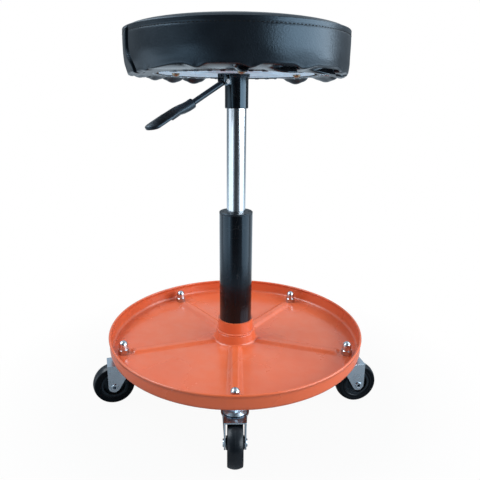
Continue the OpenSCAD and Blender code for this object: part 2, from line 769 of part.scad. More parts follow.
module seat_cover() {
    turns = [for (k = [0 : gather_count - 1]) front_az + gather_front + 360 / gather_count * k];
    rows = len(cover_profile(0));
    points = concat(
        [for (a = turns) let (profile = cover_profile(a - front_az))
            each [for (p = profile) [p.x * cos(a), p.x * sin(a), p.y]]],
        [[0, 0, welt_z + crown_h], [0, 0, crown_in]]);
    top = gather_count * rows;
    sides = [for (k = [0 : gather_count - 1]) let (m = (k + 1) % gather_count)
        each [for (j = [0 : rows - 2])
            each [[k * rows + j, k * rows + j + 1, m * rows + j],
                  [m * rows + j, k * rows + j + 1, m * rows + j + 1]]]];
    caps = [for (k = [0 : gather_count - 1]) let (m = (k + 1) % gather_count)
        each [[top, k * rows, m * rows], [top + 1, m * rows + rows - 1, k * rows + rows - 1]]];
    color("black") polyhedron(points = points, faces = concat(sides, caps));
}

module seat_foam() {
    shrink = cos(180 / gather_count);
    gap = 3 * seat_clear;
    profile = [for (p = inner_profile) [p.x * shrink - gap, p.y - gap]];
    color("khaki") rotate_extrude()
        polygon(concat([[0, board_top + seat_clear], [profile[0].x, board_top + seat_clear]],
                       [for (i = [1 : len(profile) - 1]) profile[i]],
                       [[0, crown_in - gap]]));
}

// Casters

module caster_stems() {
    head_z = crown_z - 2 * seat_clear - stem_head_h;
    color("silver") at_stems() {
        translate([0, 0, cap_top]) hexagon(stem_hex_af, stem_hex_h);
        translate([0, 0, head_z]) {
            cylinder(d = stem_d, h = stud_top - head_z);
            cylinder(d = stem_head_d, h = stem_head_h);
        }
    }
}

// Domed nut: hexagon with a turned-down top edge, a short band and a half round cap
module cap_nuts() {
    dome_r = nut_af / 2 - edge / 2;
    hex_r = nut_af / 2 / cos(30);
    chamfer = 1.2;
    color("gainsboro") at_stems() translate([0, 0, floor_top]) difference() {
        union() {
            intersection() {
                hexagon(nut_af, nut_hex_h);
                cylinder(r1 = hex_r + nut_hex_h - chamfer, r2 = hex_r - chamfer, h = nut_hex_h);
            }
            translate([0, 0, nut_hex_h - over]) cylinder(r = dome_r, h = nut_band_h + over);
            translate([0, 0, nut_hex_h + nut_band_h]) sphere(r = dome_r);
        }
        translate([0, 0, -over]) cylinder(d = stem_d + 2 * seat_clear, h = nut_bore_h + over);
        translate([0, 0, -dome_r]) cylinder(r = dome_r, h = dome_r);
    }
}

module bearing_caps() {
    roof = cap_in_z + cap_t / 2;
    shoulder = swivel_ring_d / 2 + swivel_ball_d / 2 + edge;
    foot = [shoulder + cap_skirt, crown_top + move_clear + cap_t / 2];
    path = [[stem_d / 2 + seat_clear, roof], [shoulder, roof], foot];
    color("silver") at_stems() rotate_extrude() polygon(sheet(path, cap_t));
}

module swivel_balls() {
    color("gainsboro") at_stems() for (k = [0 : swivel_ball_n - 1])
        rotate([0, 0, 360 / swivel_ball_n * k]) translate([swivel_ring_d / 2, 0, ball_z])
            sphere(d = swivel_ball_d, $fn = 24);
}

// Side outline of a fork leg: upright trailing edge, round end, leaning leading edge
function leg_outline() =
    let (axle = [caster_trail, axle_z],
         start = axle + fork_end_r * [cos(180 + fork_lean), sin(180 + fork_lean)],
         rise = crown_top - start.y)
    concat([[caster_trail + fork_end_r, crown_top]],
           arc(axle, fork_end_r, 0, fork_lean - 180, 10),
           [[start.x - rise * tan(fork_lean), crown_top]]);

// Plan of one fork leg: straight beside the wheel, flaring out towards its leading edge
function leg_plan() =
    [[-crown_d / 2, leg_in + fork_t / 2 + fork_flare], [caster_trail / 2, leg_in + fork_t / 2],
     [caster_trail + fork_end_r + over, leg_in + fork_t / 2]];

module fork(i) {
    tail = caster_trail + fork_end_r;
    color("silver") at_caster(i) difference() {
        union() {
            translate([0, 0, crown_z]) cylinder(d = crown_d, h = fork_t);
            translate([0, -leg_in - fork_t / 2, crown_z]) cube([tail, 2 * leg_in + fork_t, fork_t]);
            for (s = [0, 1]) mirror([0, s, 0]) intersection() {
                linear_extrude(height = crown_top) polygon(sheet(leg_plan(), fork_t));
                rotate([90, 0, 0]) translate([0, 0, -crown_d]) linear_extrude(height = 2 * crown_d)
                    polygon(leg_outline());
            }
        }
        translate([0, 0, crown_z - over]) cylinder(d = stem_d + 2 * run_clear, h = fork_t + 2 * over);
        translate([caster_trail, 0, axle_z]) rotate([90, 0, 0])
            cylinder(d = axle_d + 2 * run_clear, h = 4 * crown_d, center = true);
    }
}

// Tubular rivet with a rolled head at each end
module axle(i) {
    head_h = axle_head_h - seat_clear;
    color("silver") at_axle(i) difference() {
        union() {
            cylinder(d = axle_d, h = 2 * head_reach, center = true);
            for (s = [0, 1]) mirror([0, 0, s]) translate([0, 0, leg_out + seat_clear])
                cylinder(d1 = axle_head_d, d2 = axle_head_d - head_h, h = head_h);
        }
        cylinder(d = axle_hole_d, h = 2 * (head_reach + over), center = true);
    }
}

module bush(i) {
    length = 2 * (leg_in - seat_clear);
    color("silver") at_axle(i) translate([0, 0, -length / 2])
        ring(bush_d / 2, axle_d / 2 + run_clear, length);
}

// Hub with a recessed web between its outer band and its boss
module wheel_hub(i) {
    bore = bush_d / 2 + run_clear;
    boss = leg_in - move_clear;
    band = wheel_w / 2 - edge;
    web = hub_web_t / 2;
    in_r = hub_d / 2 - hub_band_t;
    half = [[bore, boss], [hub_boss_d / 2, boss], [hub_boss_d / 2 + edge, web], [in_r - edge, web],
            [in_r, band], [hub_d / 2, band]];
    lower = [for (p = reversed(half)) [p.x, -p.y]];
    color("black") at_axle(i) rotate_extrude() polygon(concat(half, lower));
}

module tyre(i) {
    r = wheel_d / 2;
    half_w = wheel_w / 2;
    k = tyre_shoulder;
    in_r = hub_d / 2 + seat_clear;
    lip = 2;
    color("black") at_axle(i) rotate_extrude()
        polygon(concat([[in_r, -half_w + edge], [in_r + lip, -half_w]],
                       arc([r - k, -half_w + k], k, -90, 0), arc([r - k, half_w - k], k, 0, 90),
                       [[in_r + lip, half_w], [in_r, half_w - edge]]));
}

tray();
hub_socket();
column_tube();
guide_bushing();
thrust_washer_lower();
cap_nuts();
caster_stems();
bearing_caps();
swivel_balls();
piston_rod();
piston();
thrust_balls();
thrust_washer_upper();
bump_stop();
rod_clip();
gas_cylinder();
rod_guide();
seat_sleeve();
lever_bracket();
lever_pin();
seat_plate();
seat_screws();
seat_board();
seat_foam();
seat_cover();
lever_rod();
lever_paddle();
valve_pin();
for (i = [0 : caster_n - 1]) {
    fork(i);
    axle(i);
    bush(i);
    wheel_hub(i);
    tyre(i);
}
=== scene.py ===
"""Looks of the roller stool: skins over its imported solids, a sewn cushion, finishes, studio and camera.

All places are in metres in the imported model's frame: +Z is up and the front caster stands towards -Y.
"""

import json
import math
from types import SimpleNamespace

import bpy
import numpy as np
from mathutils import Matrix, Vector


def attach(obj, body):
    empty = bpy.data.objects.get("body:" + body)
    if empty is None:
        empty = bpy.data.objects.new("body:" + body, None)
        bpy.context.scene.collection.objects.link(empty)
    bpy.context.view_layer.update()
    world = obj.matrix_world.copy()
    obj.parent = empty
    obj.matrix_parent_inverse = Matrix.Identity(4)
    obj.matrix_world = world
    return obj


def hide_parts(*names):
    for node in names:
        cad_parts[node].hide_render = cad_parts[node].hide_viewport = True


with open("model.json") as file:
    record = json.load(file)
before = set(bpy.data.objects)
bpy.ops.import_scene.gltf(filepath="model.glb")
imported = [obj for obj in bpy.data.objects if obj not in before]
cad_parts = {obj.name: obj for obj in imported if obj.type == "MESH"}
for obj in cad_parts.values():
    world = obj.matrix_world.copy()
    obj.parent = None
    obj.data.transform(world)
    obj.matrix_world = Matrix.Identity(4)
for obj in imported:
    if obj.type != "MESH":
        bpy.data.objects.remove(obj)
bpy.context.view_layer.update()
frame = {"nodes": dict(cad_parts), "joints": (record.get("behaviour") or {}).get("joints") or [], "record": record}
scene = bpy.context.scene
TURN = 2 * math.pi

# Sewing pattern of the cushion
SEAM_R = 0.1495
SEAM_Z = 0.5313
CROWN_H = 0.015
SIDE_H = 0.052
SIDE_SWELL = 0.0028
FOOT_TUCK = 0.0042
EDGE_H = 0.0026
EDGE_IN = 0.0024
HEM_R = 0.1115
HEM_Z = SEAM_Z - SIDE_H
HEM_ROLL = 0.0013
LAP_TURN = math.radians(-150.5)
LAP_STEP = 0.0024
LAP_GROOVE = 0.0038
PUFF_MOST = 0.0025
CLOTH_STEPS = 20

# Hollow for the board inside the cushion
BOARD_R = 0.1364
BOARD_LOW = 0.4812
BOARD_TOP = 0.4938

# Gathers of the cover's lower edge, counter-clockwise from the left front: each one's start in degrees, the
# share of it over which its edge is drawn up, the share from which its pocket opens, where 1 stands for no
# pocket, and how far it hangs
GATHERS = (
    (-136, 0.75, 1.0, 0.0), (-107.5, 0.2, 0.68, 0.0), (-83.5, 0.22, 0.3, 0.0), (-59, 0.3, 0.1, 0.05),
    (-29, 0.35, 0.55, 0.6), (-8, 0.3, 1.0, 0.9), (12, 0.35, 1.0, 1.3), (33, 0.5, 1.0, 0.1),
    (41, 0.3, 1.0, 1.5), (57, 0.25, 1.0, 0.2), (84, 0.3, 1.0, 0.15), (111.5, 0.3, 1.0, 1.5),
    (127.5, 0.35, 1.0, 1.45), (143, 0.3, 1.0, 1.15), (159, 0.35, 1.0, 0.9), (178, 0.3, 1.0, 0.9),
    (198, 0.4, 1.0, 0.8),
)
GATHER_RISE = 0.0045
GATHER_HANG = 0.0085
# Fold at a pocket, in millimetres inwards from the cover's edge and up from the hem: up into the hollow, down
# behind it, out along the lip, round the lip's edge and back in under it
POCKET = (
    (0, 2.6), (1, 5), (2.6, 8), (5, 9), (7.2, 8), (8.4, 5.6), (8.8, 3), (8, 1), (6, -0.4), (4.4, -1.6),
    (3.6, -2.6), (4, -3.5), (6, -3.8), (10, -3.2), (16, -2), (24, -0.8), (31, -0.2), (36, 0),
)

# Stitches under the top seam and staples in the hem
STITCHES = 186
STITCH_DROP = 0.0054
STITCH_L = 0.0037
THREAD_D = 0.0008
STAPLES = 44
STAPLE_R = 0.1165
STAPLE_L = 0.009
STAPLE_D = 0.0009

# Pressed tray, with the radii between which a rib's two ends rise and fall
CASTERS = 5
SHEET = 0.0014
COLLAR_TOP_R = 0.0291
COLLAR_TOP_Z = 0.093
COLLAR_FOOT_R = 0.0331
COLLAR_FILLET = 0.005
FLOOR_Z = 0.0772
WALL_BEND = 0.006
WALL_R = 0.1952
RIM_Z = 0.0992
RIM_ROLL = 0.0018
WALL_TOP = RIM_Z - 0.0017
RIB_H = 0.004
RIB_HALF_TOP = 0.0035
RIB_HALF_FOOT = 0.0112
RIB_START = (0.0325, 0.04)
RIB_END = (0.159, 0.168)

# Release lever, with the grip's places along the lever's line from its pivot
LEVER_TURN = math.radians(220)
LEVER_FALL = math.radians(28.3)
LEVER_PIVOT_R = 0.022
LEVER_PIVOT_Z = 0.47
GRIP_START = 0.06
GRIP_END = 0.137
GRIP_COLLAR_R = 0.00675
BLADE_HALF_WIDE = 0.0125
BLADE_HALF_DEEP = 0.0033
BLADE_RISE = 0.006
BLADE_DROOP = 0.003

# Screws of the seat plate. A recess has its half width and its reach at its floor and at its edge, and the
# heights of the shank and its tip are measured from the plate's lower face
SCREWS = 4
SCREW_TURN = math.radians(4)
SCREW_RING_R = 0.084
PLATE_LOW = 0.48
HEAD_R = 0.0055
HEAD_H = 0.0042
RECESS_DEPTH = 0.002
RECESS_HALF = (0.0004, 0.0007)
RECESS_R = (0.0018, 0.0027)
RECESS_TURNS = (0.4, 1.1, 0.2, 0.8)
SHANK_R = 0.0024
SHANK_TOP = 0.0102
TIP_R = 0.0016
TIP_TOP = 0.011

# Moulded tyres
TYRE_R = 0.031
TYRE_HALF = 0.01
TYRE_BORE = 0.0191
TYRE_CROWN = 0.02
TREAD_HALF = 0.009
TREAD_POLISH = 0.45
PARTING_H = 0.0001
GROOVE_R = 0.0232
GROOVE_DEPTH = 0.0005
GROOVE_WIDTH = 0.0011
BEVEL_H = 0.002
BEVEL_IN = 0.0008

# Tint of the cool light that the black pieces throw back
COOL = (0.52, 0.77, 1.0, 1)

# Studio lamps: name, place, aim, width, height and power
LAMPS = (
    ("right_low", (1.43, -0.458, -0.02), (0, 0, -0.02), 1.68, 0.7, 7),
    ("right_high", (1.39, -0.56, 0.72), (0, 0, 0.72), 1.9, 0.78, 31),
    ("left_low", (-1.41, -0.51, 0.1), (0, 0, 0.1), 1.8, 0.8, 6),
    ("left_high", (-1.2, 0, 1.45), (0, 0, 0.1), 1.4, 0.8, 22),
    ("back_high", (1.2, 0.4, 1.3), (0, 0, 0.1), 1.2, 0.8, 5),
)
LAMP_TINT = (0.86, 0.94, 1.0)

# The photograph's camera
CAMERA_PLACE = (0, -0.7053, 0.44485)
CAMERA_ASIDE = math.radians(-0.511)
CAMERA_DOWN = math.radians(16.143)
CAMERA_ROLL = math.radians(0.45)
SENSOR = 36
FOCAL_LENGTH = 36.1155


def ease(x, low, high):
    """0 before low, 1 past high, and a cubic with flat ends between. Low may be the greater of the two."""
    t = np.clip((x - low) / (high - low), 0.0, 1.0)
    return t * t * (3 - 2 * t)


def bell(x, centre, width):
    """Bell curve of height 1 at its centre, which falls to about a third one width away."""
    return np.exp(-(((x - centre) / width) ** 2))


def round_axis(radius, height, angle):
    """Points at a radius and a height, turned by an angle about the column's axis."""
    radius, height, angle = np.broadcast_arrays(radius, height, angle)
    return np.stack([radius * np.cos(angle), radius * np.sin(angle), height], axis=-1)


def grid_mesh(name, points, ring_rows=False, poles=(None, None)):
    """Mesh of a grid of points, or of many equal grids, with rows along a profile and columns round it.

    Each cell is one quad and the last column joins the first. ring_rows also joins the last row to the first,
    and a pole closes its end of the grid with a fan of triangles."""
    points = points.reshape((-1,) + points.shape[-3:])
    count, rows, columns = points.shape[:3]
    index = np.arange(count * rows * columns).reshape(count, rows, columns)
    index = np.concatenate([index, index[:, :, :1]], axis=2)
    if ring_rows:
        index = np.concatenate([index, index[:, :1]], axis=1)
    corners = [index[:, :-1, :-1], index[:, :-1, 1:], index[:, 1:, 1:], index[:, 1:, :-1]]
    faces = np.stack(corners, axis=-1).reshape(-1, 4).tolist()
    places = points.reshape(-1, 3)
    ends = ((index[:, 0, 1:], index[:, 0, :-1]), (index[:, -1, :-1], index[:, -1, 1:]))
    for pole, (first, second) in zip(poles, ends):
        if pole is not None:
            tips = np.broadcast_to(len(places) + np.arange(count)[:, None], first.shape)
            faces += np.stack([tips, first, second], axis=-1).reshape(-1, 3).tolist()
            places = np.vstack([places, np.reshape(pole, (count, 3))])
    mesh = bpy.data.meshes.new(name)
    mesh.from_pydata(places.tolist(), [], faces)
    mesh.shade_smooth()
    return mesh


def skin(name, points, material, body, ring_rows=False, poles=(None, None)):
    """Piece that shows a grid's mesh in one material and moves with a body."""
    mesh = grid_mesh(name, points, ring_rows, poles)
    mesh.materials.append(material)
    piece = bpy.data.objects.new(name, mesh)
    scene.collection.objects.link(piece)
    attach(piece, body)
    return piece


def store_mask(piece, name, values):
    """Stores a number on each of a piece's points, for its material to read."""
    mask = piece.data.attributes.new(name, "FLOAT", "POINT")
    mask.data.foreach_set("value", values.astype(np.float32))


def node(tree, kind, inputs=(), **settings):
    """Adds one shader node. Outputs among its inputs are linked, and other values are set on its sockets."""
    made = tree.nodes.new("ShaderNode" + kind)
    for key, value in settings.items():
        setattr(made, key, value)
    for key, value in dict(inputs).items():
        if isinstance(value, bpy.types.NodeSocket):
            tree.links.new(value, made.inputs[key])
        else:
            made.inputs[key].default_value = value
    return made


def calc(tree, operation, *values):
    """Result of one sum on values or outputs."""
    return node(tree, "Math", dict(enumerate(values)), operation=operation).outputs[0]


def stretch(tree, value, low, high, to_low=0.0, to_high=1.0):
    """Value moved from one range to another and held at its ends."""
    ends = {"Value": value, "From Min": low, "From Max": high, "To Min": to_low, "To Max": to_high}
    return node(tree, "MapRange", ends).outputs[0]


def between(tree, mask, first, second):
    """Colour that goes from the first one where the mask is 0 to the second where it is 1."""
    return node(tree, "Mix", {0: mask, 6: first, 7: second}, data_type="RGBA").outputs[2]


def object_place(tree, size=(1, 1, 1)):
    """Object coordinates, stretched along the axes."""
    place = node(tree, "TexCoord").outputs["Object"]
    if size == (1, 1, 1):
        return place
    return node(tree, "Mapping", {"Vector": place, "Scale": size}).outputs[0]


def effect(name, inputs, outputs):
    """Empty node group with the given sockets, and its input and output nodes."""
    tree = bpy.data.node_groups.new(name, "ShaderNodeTree")
    for label, default in inputs.items():
        kind = "Color" if isinstance(default, tuple) else "Vector" if default is None else "Float"
        socket = tree.interface.new_socket(name=label, in_out="INPUT", socket_type="NodeSocket" + kind)
        if default is not None:
            socket.default_value = default
    for label, kind in outputs.items():
        tree.interface.new_socket(name=label, in_out="OUTPUT", socket_type="NodeSocket" + kind)
    return tree, tree.nodes.new("NodeGroupInput").outputs, tree.nodes.new("NodeGroupOutput").inputs


def mottle_effect():
    """Cloudy change between two colours, with a roughness that follows it."""
    black = (0.0, 0.0, 0.0, 1.0)
    tree, given, out = effect(
        "mottle",
        {"Base": black, "Shade": black, "Scale": 20.0, "Roughness": 0.4, "Spread": 0.1},
        {"Colour": "Color", "Roughness": "Float"},
    )
    cloud = node(tree, "TexNoise", {"Vector": object_place(tree), "Scale": given["Scale"], "Detail": 5.0})
    mask = stretch(tree, cloud.outputs["Fac"], 0.34, 0.66)
    swing = calc(tree, "MULTIPLY", calc(tree, "SUBTRACT", mask, 0.5), given["Spread"])
    tree.links.new(between(tree, mask, given["Base"], given["Shade"]), out["Colour"])
    tree.links.new(calc(tree, "ADD", given["Roughness"], swing), out["Roughness"])
    return tree


def fine_bumps_effect():
    """Small even unevenness of a sprayed, moulded or plated face, on top of a given normal."""
    tree, given, out = effect(
        "fine_bumps",
        {"Scale": 300.0, "Height": 0.0001, "Strength": 0.2, "Normal": None},
        {"Normal": "Vector"},
    )
    grain = node(tree, "TexNoise", {"Vector": object_place(tree), "Scale": given["Scale"], "Detail": 3.0})
    bump = node(tree, "Bump", {
        "Strength": given["Strength"], "Distance": given["Height"],
        "Height": grain.outputs["Fac"], "Normal": given["Normal"],
    })
    tree.links.new(bump.outputs[0], out["Normal"])
    return tree


def edge_wear_and_highlight_effect():
    """Normal that rounds sharp edges over a radius, and a broken mask along those edges. A finish that lightens
    its colour with the mask shows partly wear and partly a painted highlight there.
    """
    tree, given, out = effect(
        "edge_wear_and_highlight", {"Radius": 0.0005, "Break": 250.0}, {"Normal": "Vector", "Mask": "Float"}
    )
    rounded = node(tree, "Bevel", {"Radius": given["Radius"]}, samples=6).outputs[0]
    plain = node(tree, "NewGeometry").outputs["Normal"]
    same = node(tree, "VectorMath", {0: rounded, 1: plain}, operation="DOT_PRODUCT").outputs["Value"]
    edge = stretch(tree, same, 0.985, 0.8)
    chips = node(tree, "TexNoise", {"Vector": object_place(tree), "Scale": given["Break"], "Detail": 4.0})
    tree.links.new(rounded, out["Normal"])
    tree.links.new(calc(tree, "MULTIPLY", edge, stretch(tree, chips.outputs["Fac"], 0.42, 0.6)), out["Mask"])
    return tree


def scratches_effect():
    """Mask of thin crossing scratches: two noises, each drawn out along one axis and cut to a thin band."""
    tree, given, out = effect("scratches", {"Scale": 60.0, "Amount": 0.5}, {"Mask": "Float"})
    bands = []
    for size in ((1.0, 0.06, 0.3), (0.05, 1.0, 0.5)):
        place = object_place(tree, size)
        lines = node(tree, "TexNoise", {"Vector": place, "Scale": given["Scale"], "Detail": 2.0})
        off = calc(tree, "ABSOLUTE", calc(tree, "SUBTRACT", lines.outputs["Fac"], 0.5))
        bands.append(stretch(tree, off, 0.006, 0.0))
    patch = node(tree, "TexNoise", {"Vector": object_place(tree), "Scale": 18.0})
    both = calc(tree, "MAXIMUM", *bands)
    some = calc(tree, "MULTIPLY", both, stretch(tree, patch.outputs["Fac"], 0.45, 0.62))
    tree.links.new(calc(tree, "MULTIPLY", some, given["Amount"]), out["Mask"])
    return tree


def dust_effect():
    """Mask of settled dust: thick on faces that look up, none on those that look down, and patchy."""
    tree, given, out = effect("dust", {"Amount": 0.3, "Scale": 40.0}, {"Mask": "Float"})
    up = node(tree, "SeparateXYZ", {0: node(tree, "NewGeometry").outputs["Normal"]}).outputs["Z"]
    patch = node(tree, "TexNoise", {"Vector": object_place(tree), "Scale": given["Scale"], "Detail": 6.0})
    patchy = stretch(tree, patch.outputs["Fac"], 0.38, 0.7)
    lying = calc(tree, "MULTIPLY", stretch(tree, up, 0.1, 0.9), patchy)
    tree.links.new(calc(tree, "MULTIPLY", lying, given["Amount"]), out["Mask"])
    return tree


mottle = mottle_effect()
fine_bumps = fine_bumps_effect()
edge_wear_and_highlight = edge_wear_and_highlight_effect()
scratches = scratches_effect()
dust = dust_effect()


def start_finish(name, **plain):
    """New material with its shader, on which the values that are the same all over are set."""
    material = bpy.data.materials.new(name)
    material.use_nodes = True
    shader = material.node_tree.nodes["Principled BSDF"]
    for label, value in plain.items():
        shader.inputs[label.replace("_", " ")].default_value = value
    return material, material.node_tree, shader


def use(tree, group, **inputs):
    """Places a node group with its own values and gives its outputs."""
    return node(tree, "Group", inputs, node_tree=group).outputs


def join(tree, shader, **sockets):
    """Links outputs to the shader's sockets."""
    for label, output in sockets.items():
        tree.links.new(output, shader.inputs[label.replace("_", " ")])


def orange_enamel_finish():
    """Glossy sprayed enamel: slightly cloudy orange, faint orange peel, a thin clear top and some dust."""
    coat = {"Coat_Weight": 0.24, "Coat_Roughness": 0.08, "Coat_IOR": 1.5}
    material, tree, shader = start_finish("orange_enamel", **coat)
    cloud = use(tree, mottle, Base=(0.74, 0.135, 0.045, 1), Shade=(0.68, 0.115, 0.038, 1), Scale=9.0,
                Roughness=0.27, Spread=0.08)
    film = use(tree, dust, Amount=0.05, Scale=60.0)
    face = node(tree, "NewGeometry").outputs["Normal"]
    peel = use(tree, fine_bumps, Scale=240.0, Height=0.0001, Strength=0.12, Normal=face)
    join(tree, shader, Base_Color=between(tree, film["Mask"], cloud["Colour"], (0.62, 0.5, 0.42, 1)),
         Roughness=cloud["Roughness"], Normal=peel["Normal"])
    return material


def black_enamel_finish():
    """Satin black enamel on tube and pressed steel, with pale scratches and edges lightened partly as wear and
    partly as a painted highlight.
    """
    material, tree, shader = start_finish("black_enamel", Specular_Tint=COOL)
    cloud = use(tree, mottle, Base=(0.003, 0.0033, 0.0042, 1), Shade=(0.005, 0.0055, 0.007, 1), Scale=30.0,
                Roughness=0.15, Spread=0.06)
    edges = use(tree, edge_wear_and_highlight, Radius=0.0005)
    lines = use(tree, scratches, Scale=70.0, Amount=0.1)
    grain = use(tree, fine_bumps, Scale=420.0, Height=0.00006, Strength=0.1, Normal=edges["Normal"])
    # Pale scratches, and edges lightened partly as wear and partly as a painted highlight
    marks_and_lit_edges = calc(tree, "MAXIMUM", calc(tree, "MULTIPLY", edges["Mask"], 0.18), lines["Mask"])
    join(tree, shader, Base_Color=between(tree, marks_and_lit_edges, cloud["Colour"], (0.16, 0.165, 0.17, 1)),
         Roughness=cloud["Roughness"], Normal=grain["Normal"])
    return material


def black_plastic_finish():
    """Moulded black plastic with a fine sparked grain and a trace of dust."""
    material, tree, shader = start_finish("black_plastic", Specular_Tint=COOL)
    cloud = use(tree, mottle, Base=(0.005, 0.0055, 0.007, 1), Shade=(0.008, 0.0085, 0.01, 1), Scale=45.0,
                Roughness=0.34, Spread=0.1)
    film = use(tree, dust, Amount=0.04, Scale=70.0)
    edges = use(tree, edge_wear_and_highlight, Radius=0.0006)
    grain = use(tree, fine_bumps, Scale=900.0, Height=0.0001, Strength=0.12, Normal=edges["Normal"])
    # Edges lightened partly as scuffed plastic and partly as a painted highlight along them
    rubbed_and_lit_edges = between(tree, edges["Mask"], cloud["Colour"], (0.06, 0.062, 0.066, 1))
    join(tree, shader, Base_Color=between(tree, film["Mask"], rubbed_and_lit_edges, (0.1, 0.1, 0.1, 1)),
         Roughness=cloud["Roughness"], Normal=grain["Normal"])
    return material


def chromed_steel_finish():
    """Bright chrome plate: nearly even, with faint lengthwise polishing streaks and a few hairlines."""
    material, tree, shader = start_finish("chromed_steel", Metallic=1.0)
    drawn_out = object_place(tree, (1, 1, 0.04))
    streaks = node(tree, "TexNoise", {"Vector": drawn_out, "Scale": 260.0, "Detail": 3.0})
    lines = use(tree, scratches, Scale=110.0, Amount=0.08)
    rough = calc(tree, "ADD", stretch(tree, streaks.outputs["Fac"], 0.3, 0.7, 0.19, 0.22),
                 calc(tree, "MULTIPLY", lines["Mask"], 0.15))
    cloud = use(tree, mottle, Base=(0.6, 0.65, 0.7, 1), Shade=(0.55, 0.6, 0.65, 1), Scale=35.0)
    join(tree, shader, Base_Color=cloud["Colour"], Roughness=rough)
    return material


def bearing_steel_finish():
    """Ground steel of balls, washers and pins with a film of grease."""
    material, tree, shader = start_finish("bearing_steel", Metallic=1.0)
    cloud = use(tree, mottle, Base=(0.13, 0.135, 0.145, 1), Shade=(0.09, 0.09, 0.09, 1), Scale=120.0,
                Roughness=0.24, Spread=0.12)
    edges = use(tree, edge_wear_and_highlight, Radius=0.0003)
    grain = use(tree, fine_bumps, Scale=800.0, Height=0.00005, Strength=0.15, Normal=edges["Normal"])
    join(tree, shader, Base_Color=cloud["Colour"], Roughness=cloud["Roughness"], Normal=grain["Normal"])
    return material


def zinc_plated_finish():
    """Bluish zinc plate on pressed steel: cloudy, finely rolled, a little wavy, and brighter at its edges, partly
    from wear and partly as a painted highlight.
    """
    material, tree, shader = start_finish("zinc_plated_steel", Metallic=1.0)
    cloud = use(tree, mottle, Base=(0.53, 0.62, 0.71, 1), Shade=(0.48, 0.57, 0.65, 1), Scale=50.0,
                Roughness=0.24, Spread=0.08)
    edges = use(tree, edge_wear_and_highlight, Radius=0.0006)
    film = use(tree, dust, Amount=0.15, Scale=90.0)
    waves = use(tree, fine_bumps, Scale=42.0, Height=0.001, Strength=0.15, Normal=edges["Normal"])
    grain = use(tree, fine_bumps, Scale=520.0, Height=0.00005, Strength=0.08, Normal=waves["Normal"])
    # Brighter edges: partly wear, partly a painted highlight
    rubbed_and_lit_edges = between(tree, edges["Mask"], cloud["Colour"], (0.78, 0.83, 0.88, 1))
    join(tree, shader, Base_Color=between(tree, film["Mask"], rubbed_and_lit_edges, (0.33, 0.32, 0.3, 1)),
         Roughness=cloud["Roughness"], Normal=grain["Normal"])
    return material


def galvanised_finish():
    """Pale galvanised sheet: flat crystal patches of unlike tone, and faint lines round its centre."""
    material, tree, shader = start_finish("galvanised_sheet", Metallic=0.3)
    place = object_place(tree)
    crystals = node(tree, "TexVoronoi", {"Vector": place, "Scale": 130.0}).outputs["Color"]
    tone = node(tree, "SeparateXYZ", {0: crystals}).outputs["X"]
    flat = node(tree, "VectorMath", {0: place, 1: (1, 1, 0)}, operation="MULTIPLY").outputs[0]
    reach = node(tree, "VectorMath", {0: flat}, operation="LENGTH").outputs["Value"]
    rings = calc(tree, "SINE", calc(tree, "MULTIPLY", reach, TURN / 0.0021))
    cloud = use(tree, mottle, Base=(0.62, 0.83, 1.0, 1), Shade=(0.55, 0.75, 0.93, 1), Scale=26.0,
                Roughness=0.38, Spread=0.1)
    edges = use(tree, edge_wear_and_highlight, Radius=0.0004)
    turned = {"Strength": 0.06, "Distance": 0.0002, "Height": rings, "Normal": edges["Normal"]}
    bump = node(tree, "Bump", turned)
    shade = between(tree, calc(tree, "MULTIPLY", tone, 0.3), cloud["Colour"], (0.5, 0.62, 0.72, 1))
    join(tree, shader, Base_Color=shade, Roughness=cloud["Roughness"], Normal=bump.outputs[0])
    return material


def yellow_zinc_finish():
    """Yellow passivated screws, brassy with darker brown and faint pink clouds."""
    material, tree, shader = start_finish("yellow_zinc_screws", Metallic=1.0)
    cloud = use(tree, mottle, Base=(0.34, 0.26, 0.17, 1), Shade=(0.24, 0.16, 0.11, 1), Scale=330.0,
                Roughness=0.3, Spread=0.12)
    edges = use(tree, edge_wear_and_highlight, Radius=0.0003)
    grain = use(tree, fine_bumps, Scale=1100.0, Height=0.00006, Strength=0.2, Normal=edges["Normal"])
    # Lighter brassy edges: partly wear, partly a painted highlight
    join(tree, shader, Base_Color=between(tree, edges["Mask"], cloud["Colour"], (0.5, 0.4, 0.26, 1)),
         Roughness=cloud["Roughness"], Normal=grain["Normal"])
    return material


def plywood_finish():
    """Plywood board: long grain on its faces, from a noise drawn out along one axis, and plies on its rim."""
    material, tree, shader = start_finish("plywood")
    drawn_out = object_place(tree, (1, 0.05, 1))
    fibre = node(tree, "TexNoise", {"Vector": drawn_out, "Scale": 160.0, "Detail": 6.0}).outputs["Fac"]
    face = between(tree, stretch(tree, fibre, 0.35, 0.65), (0.55, 0.4, 0.24, 1), (0.38, 0.25, 0.13, 1))
    height = node(tree, "SeparateXYZ", {0: object_place(tree)}).outputs["Z"]
    ply = stretch(tree, calc(tree, "SINE", calc(tree, "MULTIPLY", height, TURN / 0.0048)), -0.3, 0.3)
    up = node(tree, "SeparateXYZ", {0: node(tree, "NewGeometry").outputs["Normal"]}).outputs["Z"]
    rim = stretch(tree, calc(tree, "ABSOLUTE", up), 0.7, 0.3)
    stripes = between(tree, ply, (0.5, 0.35, 0.2, 1), (0.28, 0.17, 0.09, 1))
    rough = stretch(tree, fibre, 0.3, 0.7, 0.62, 0.78)
    bump = node(tree, "Bump", {"Strength": 0.3, "Distance": 0.0003, "Height": fibre}).outputs[0]
    join(tree, shader, Base_Color=between(tree, rim, face, stripes), Roughness=rough, Normal=bump)
    return material


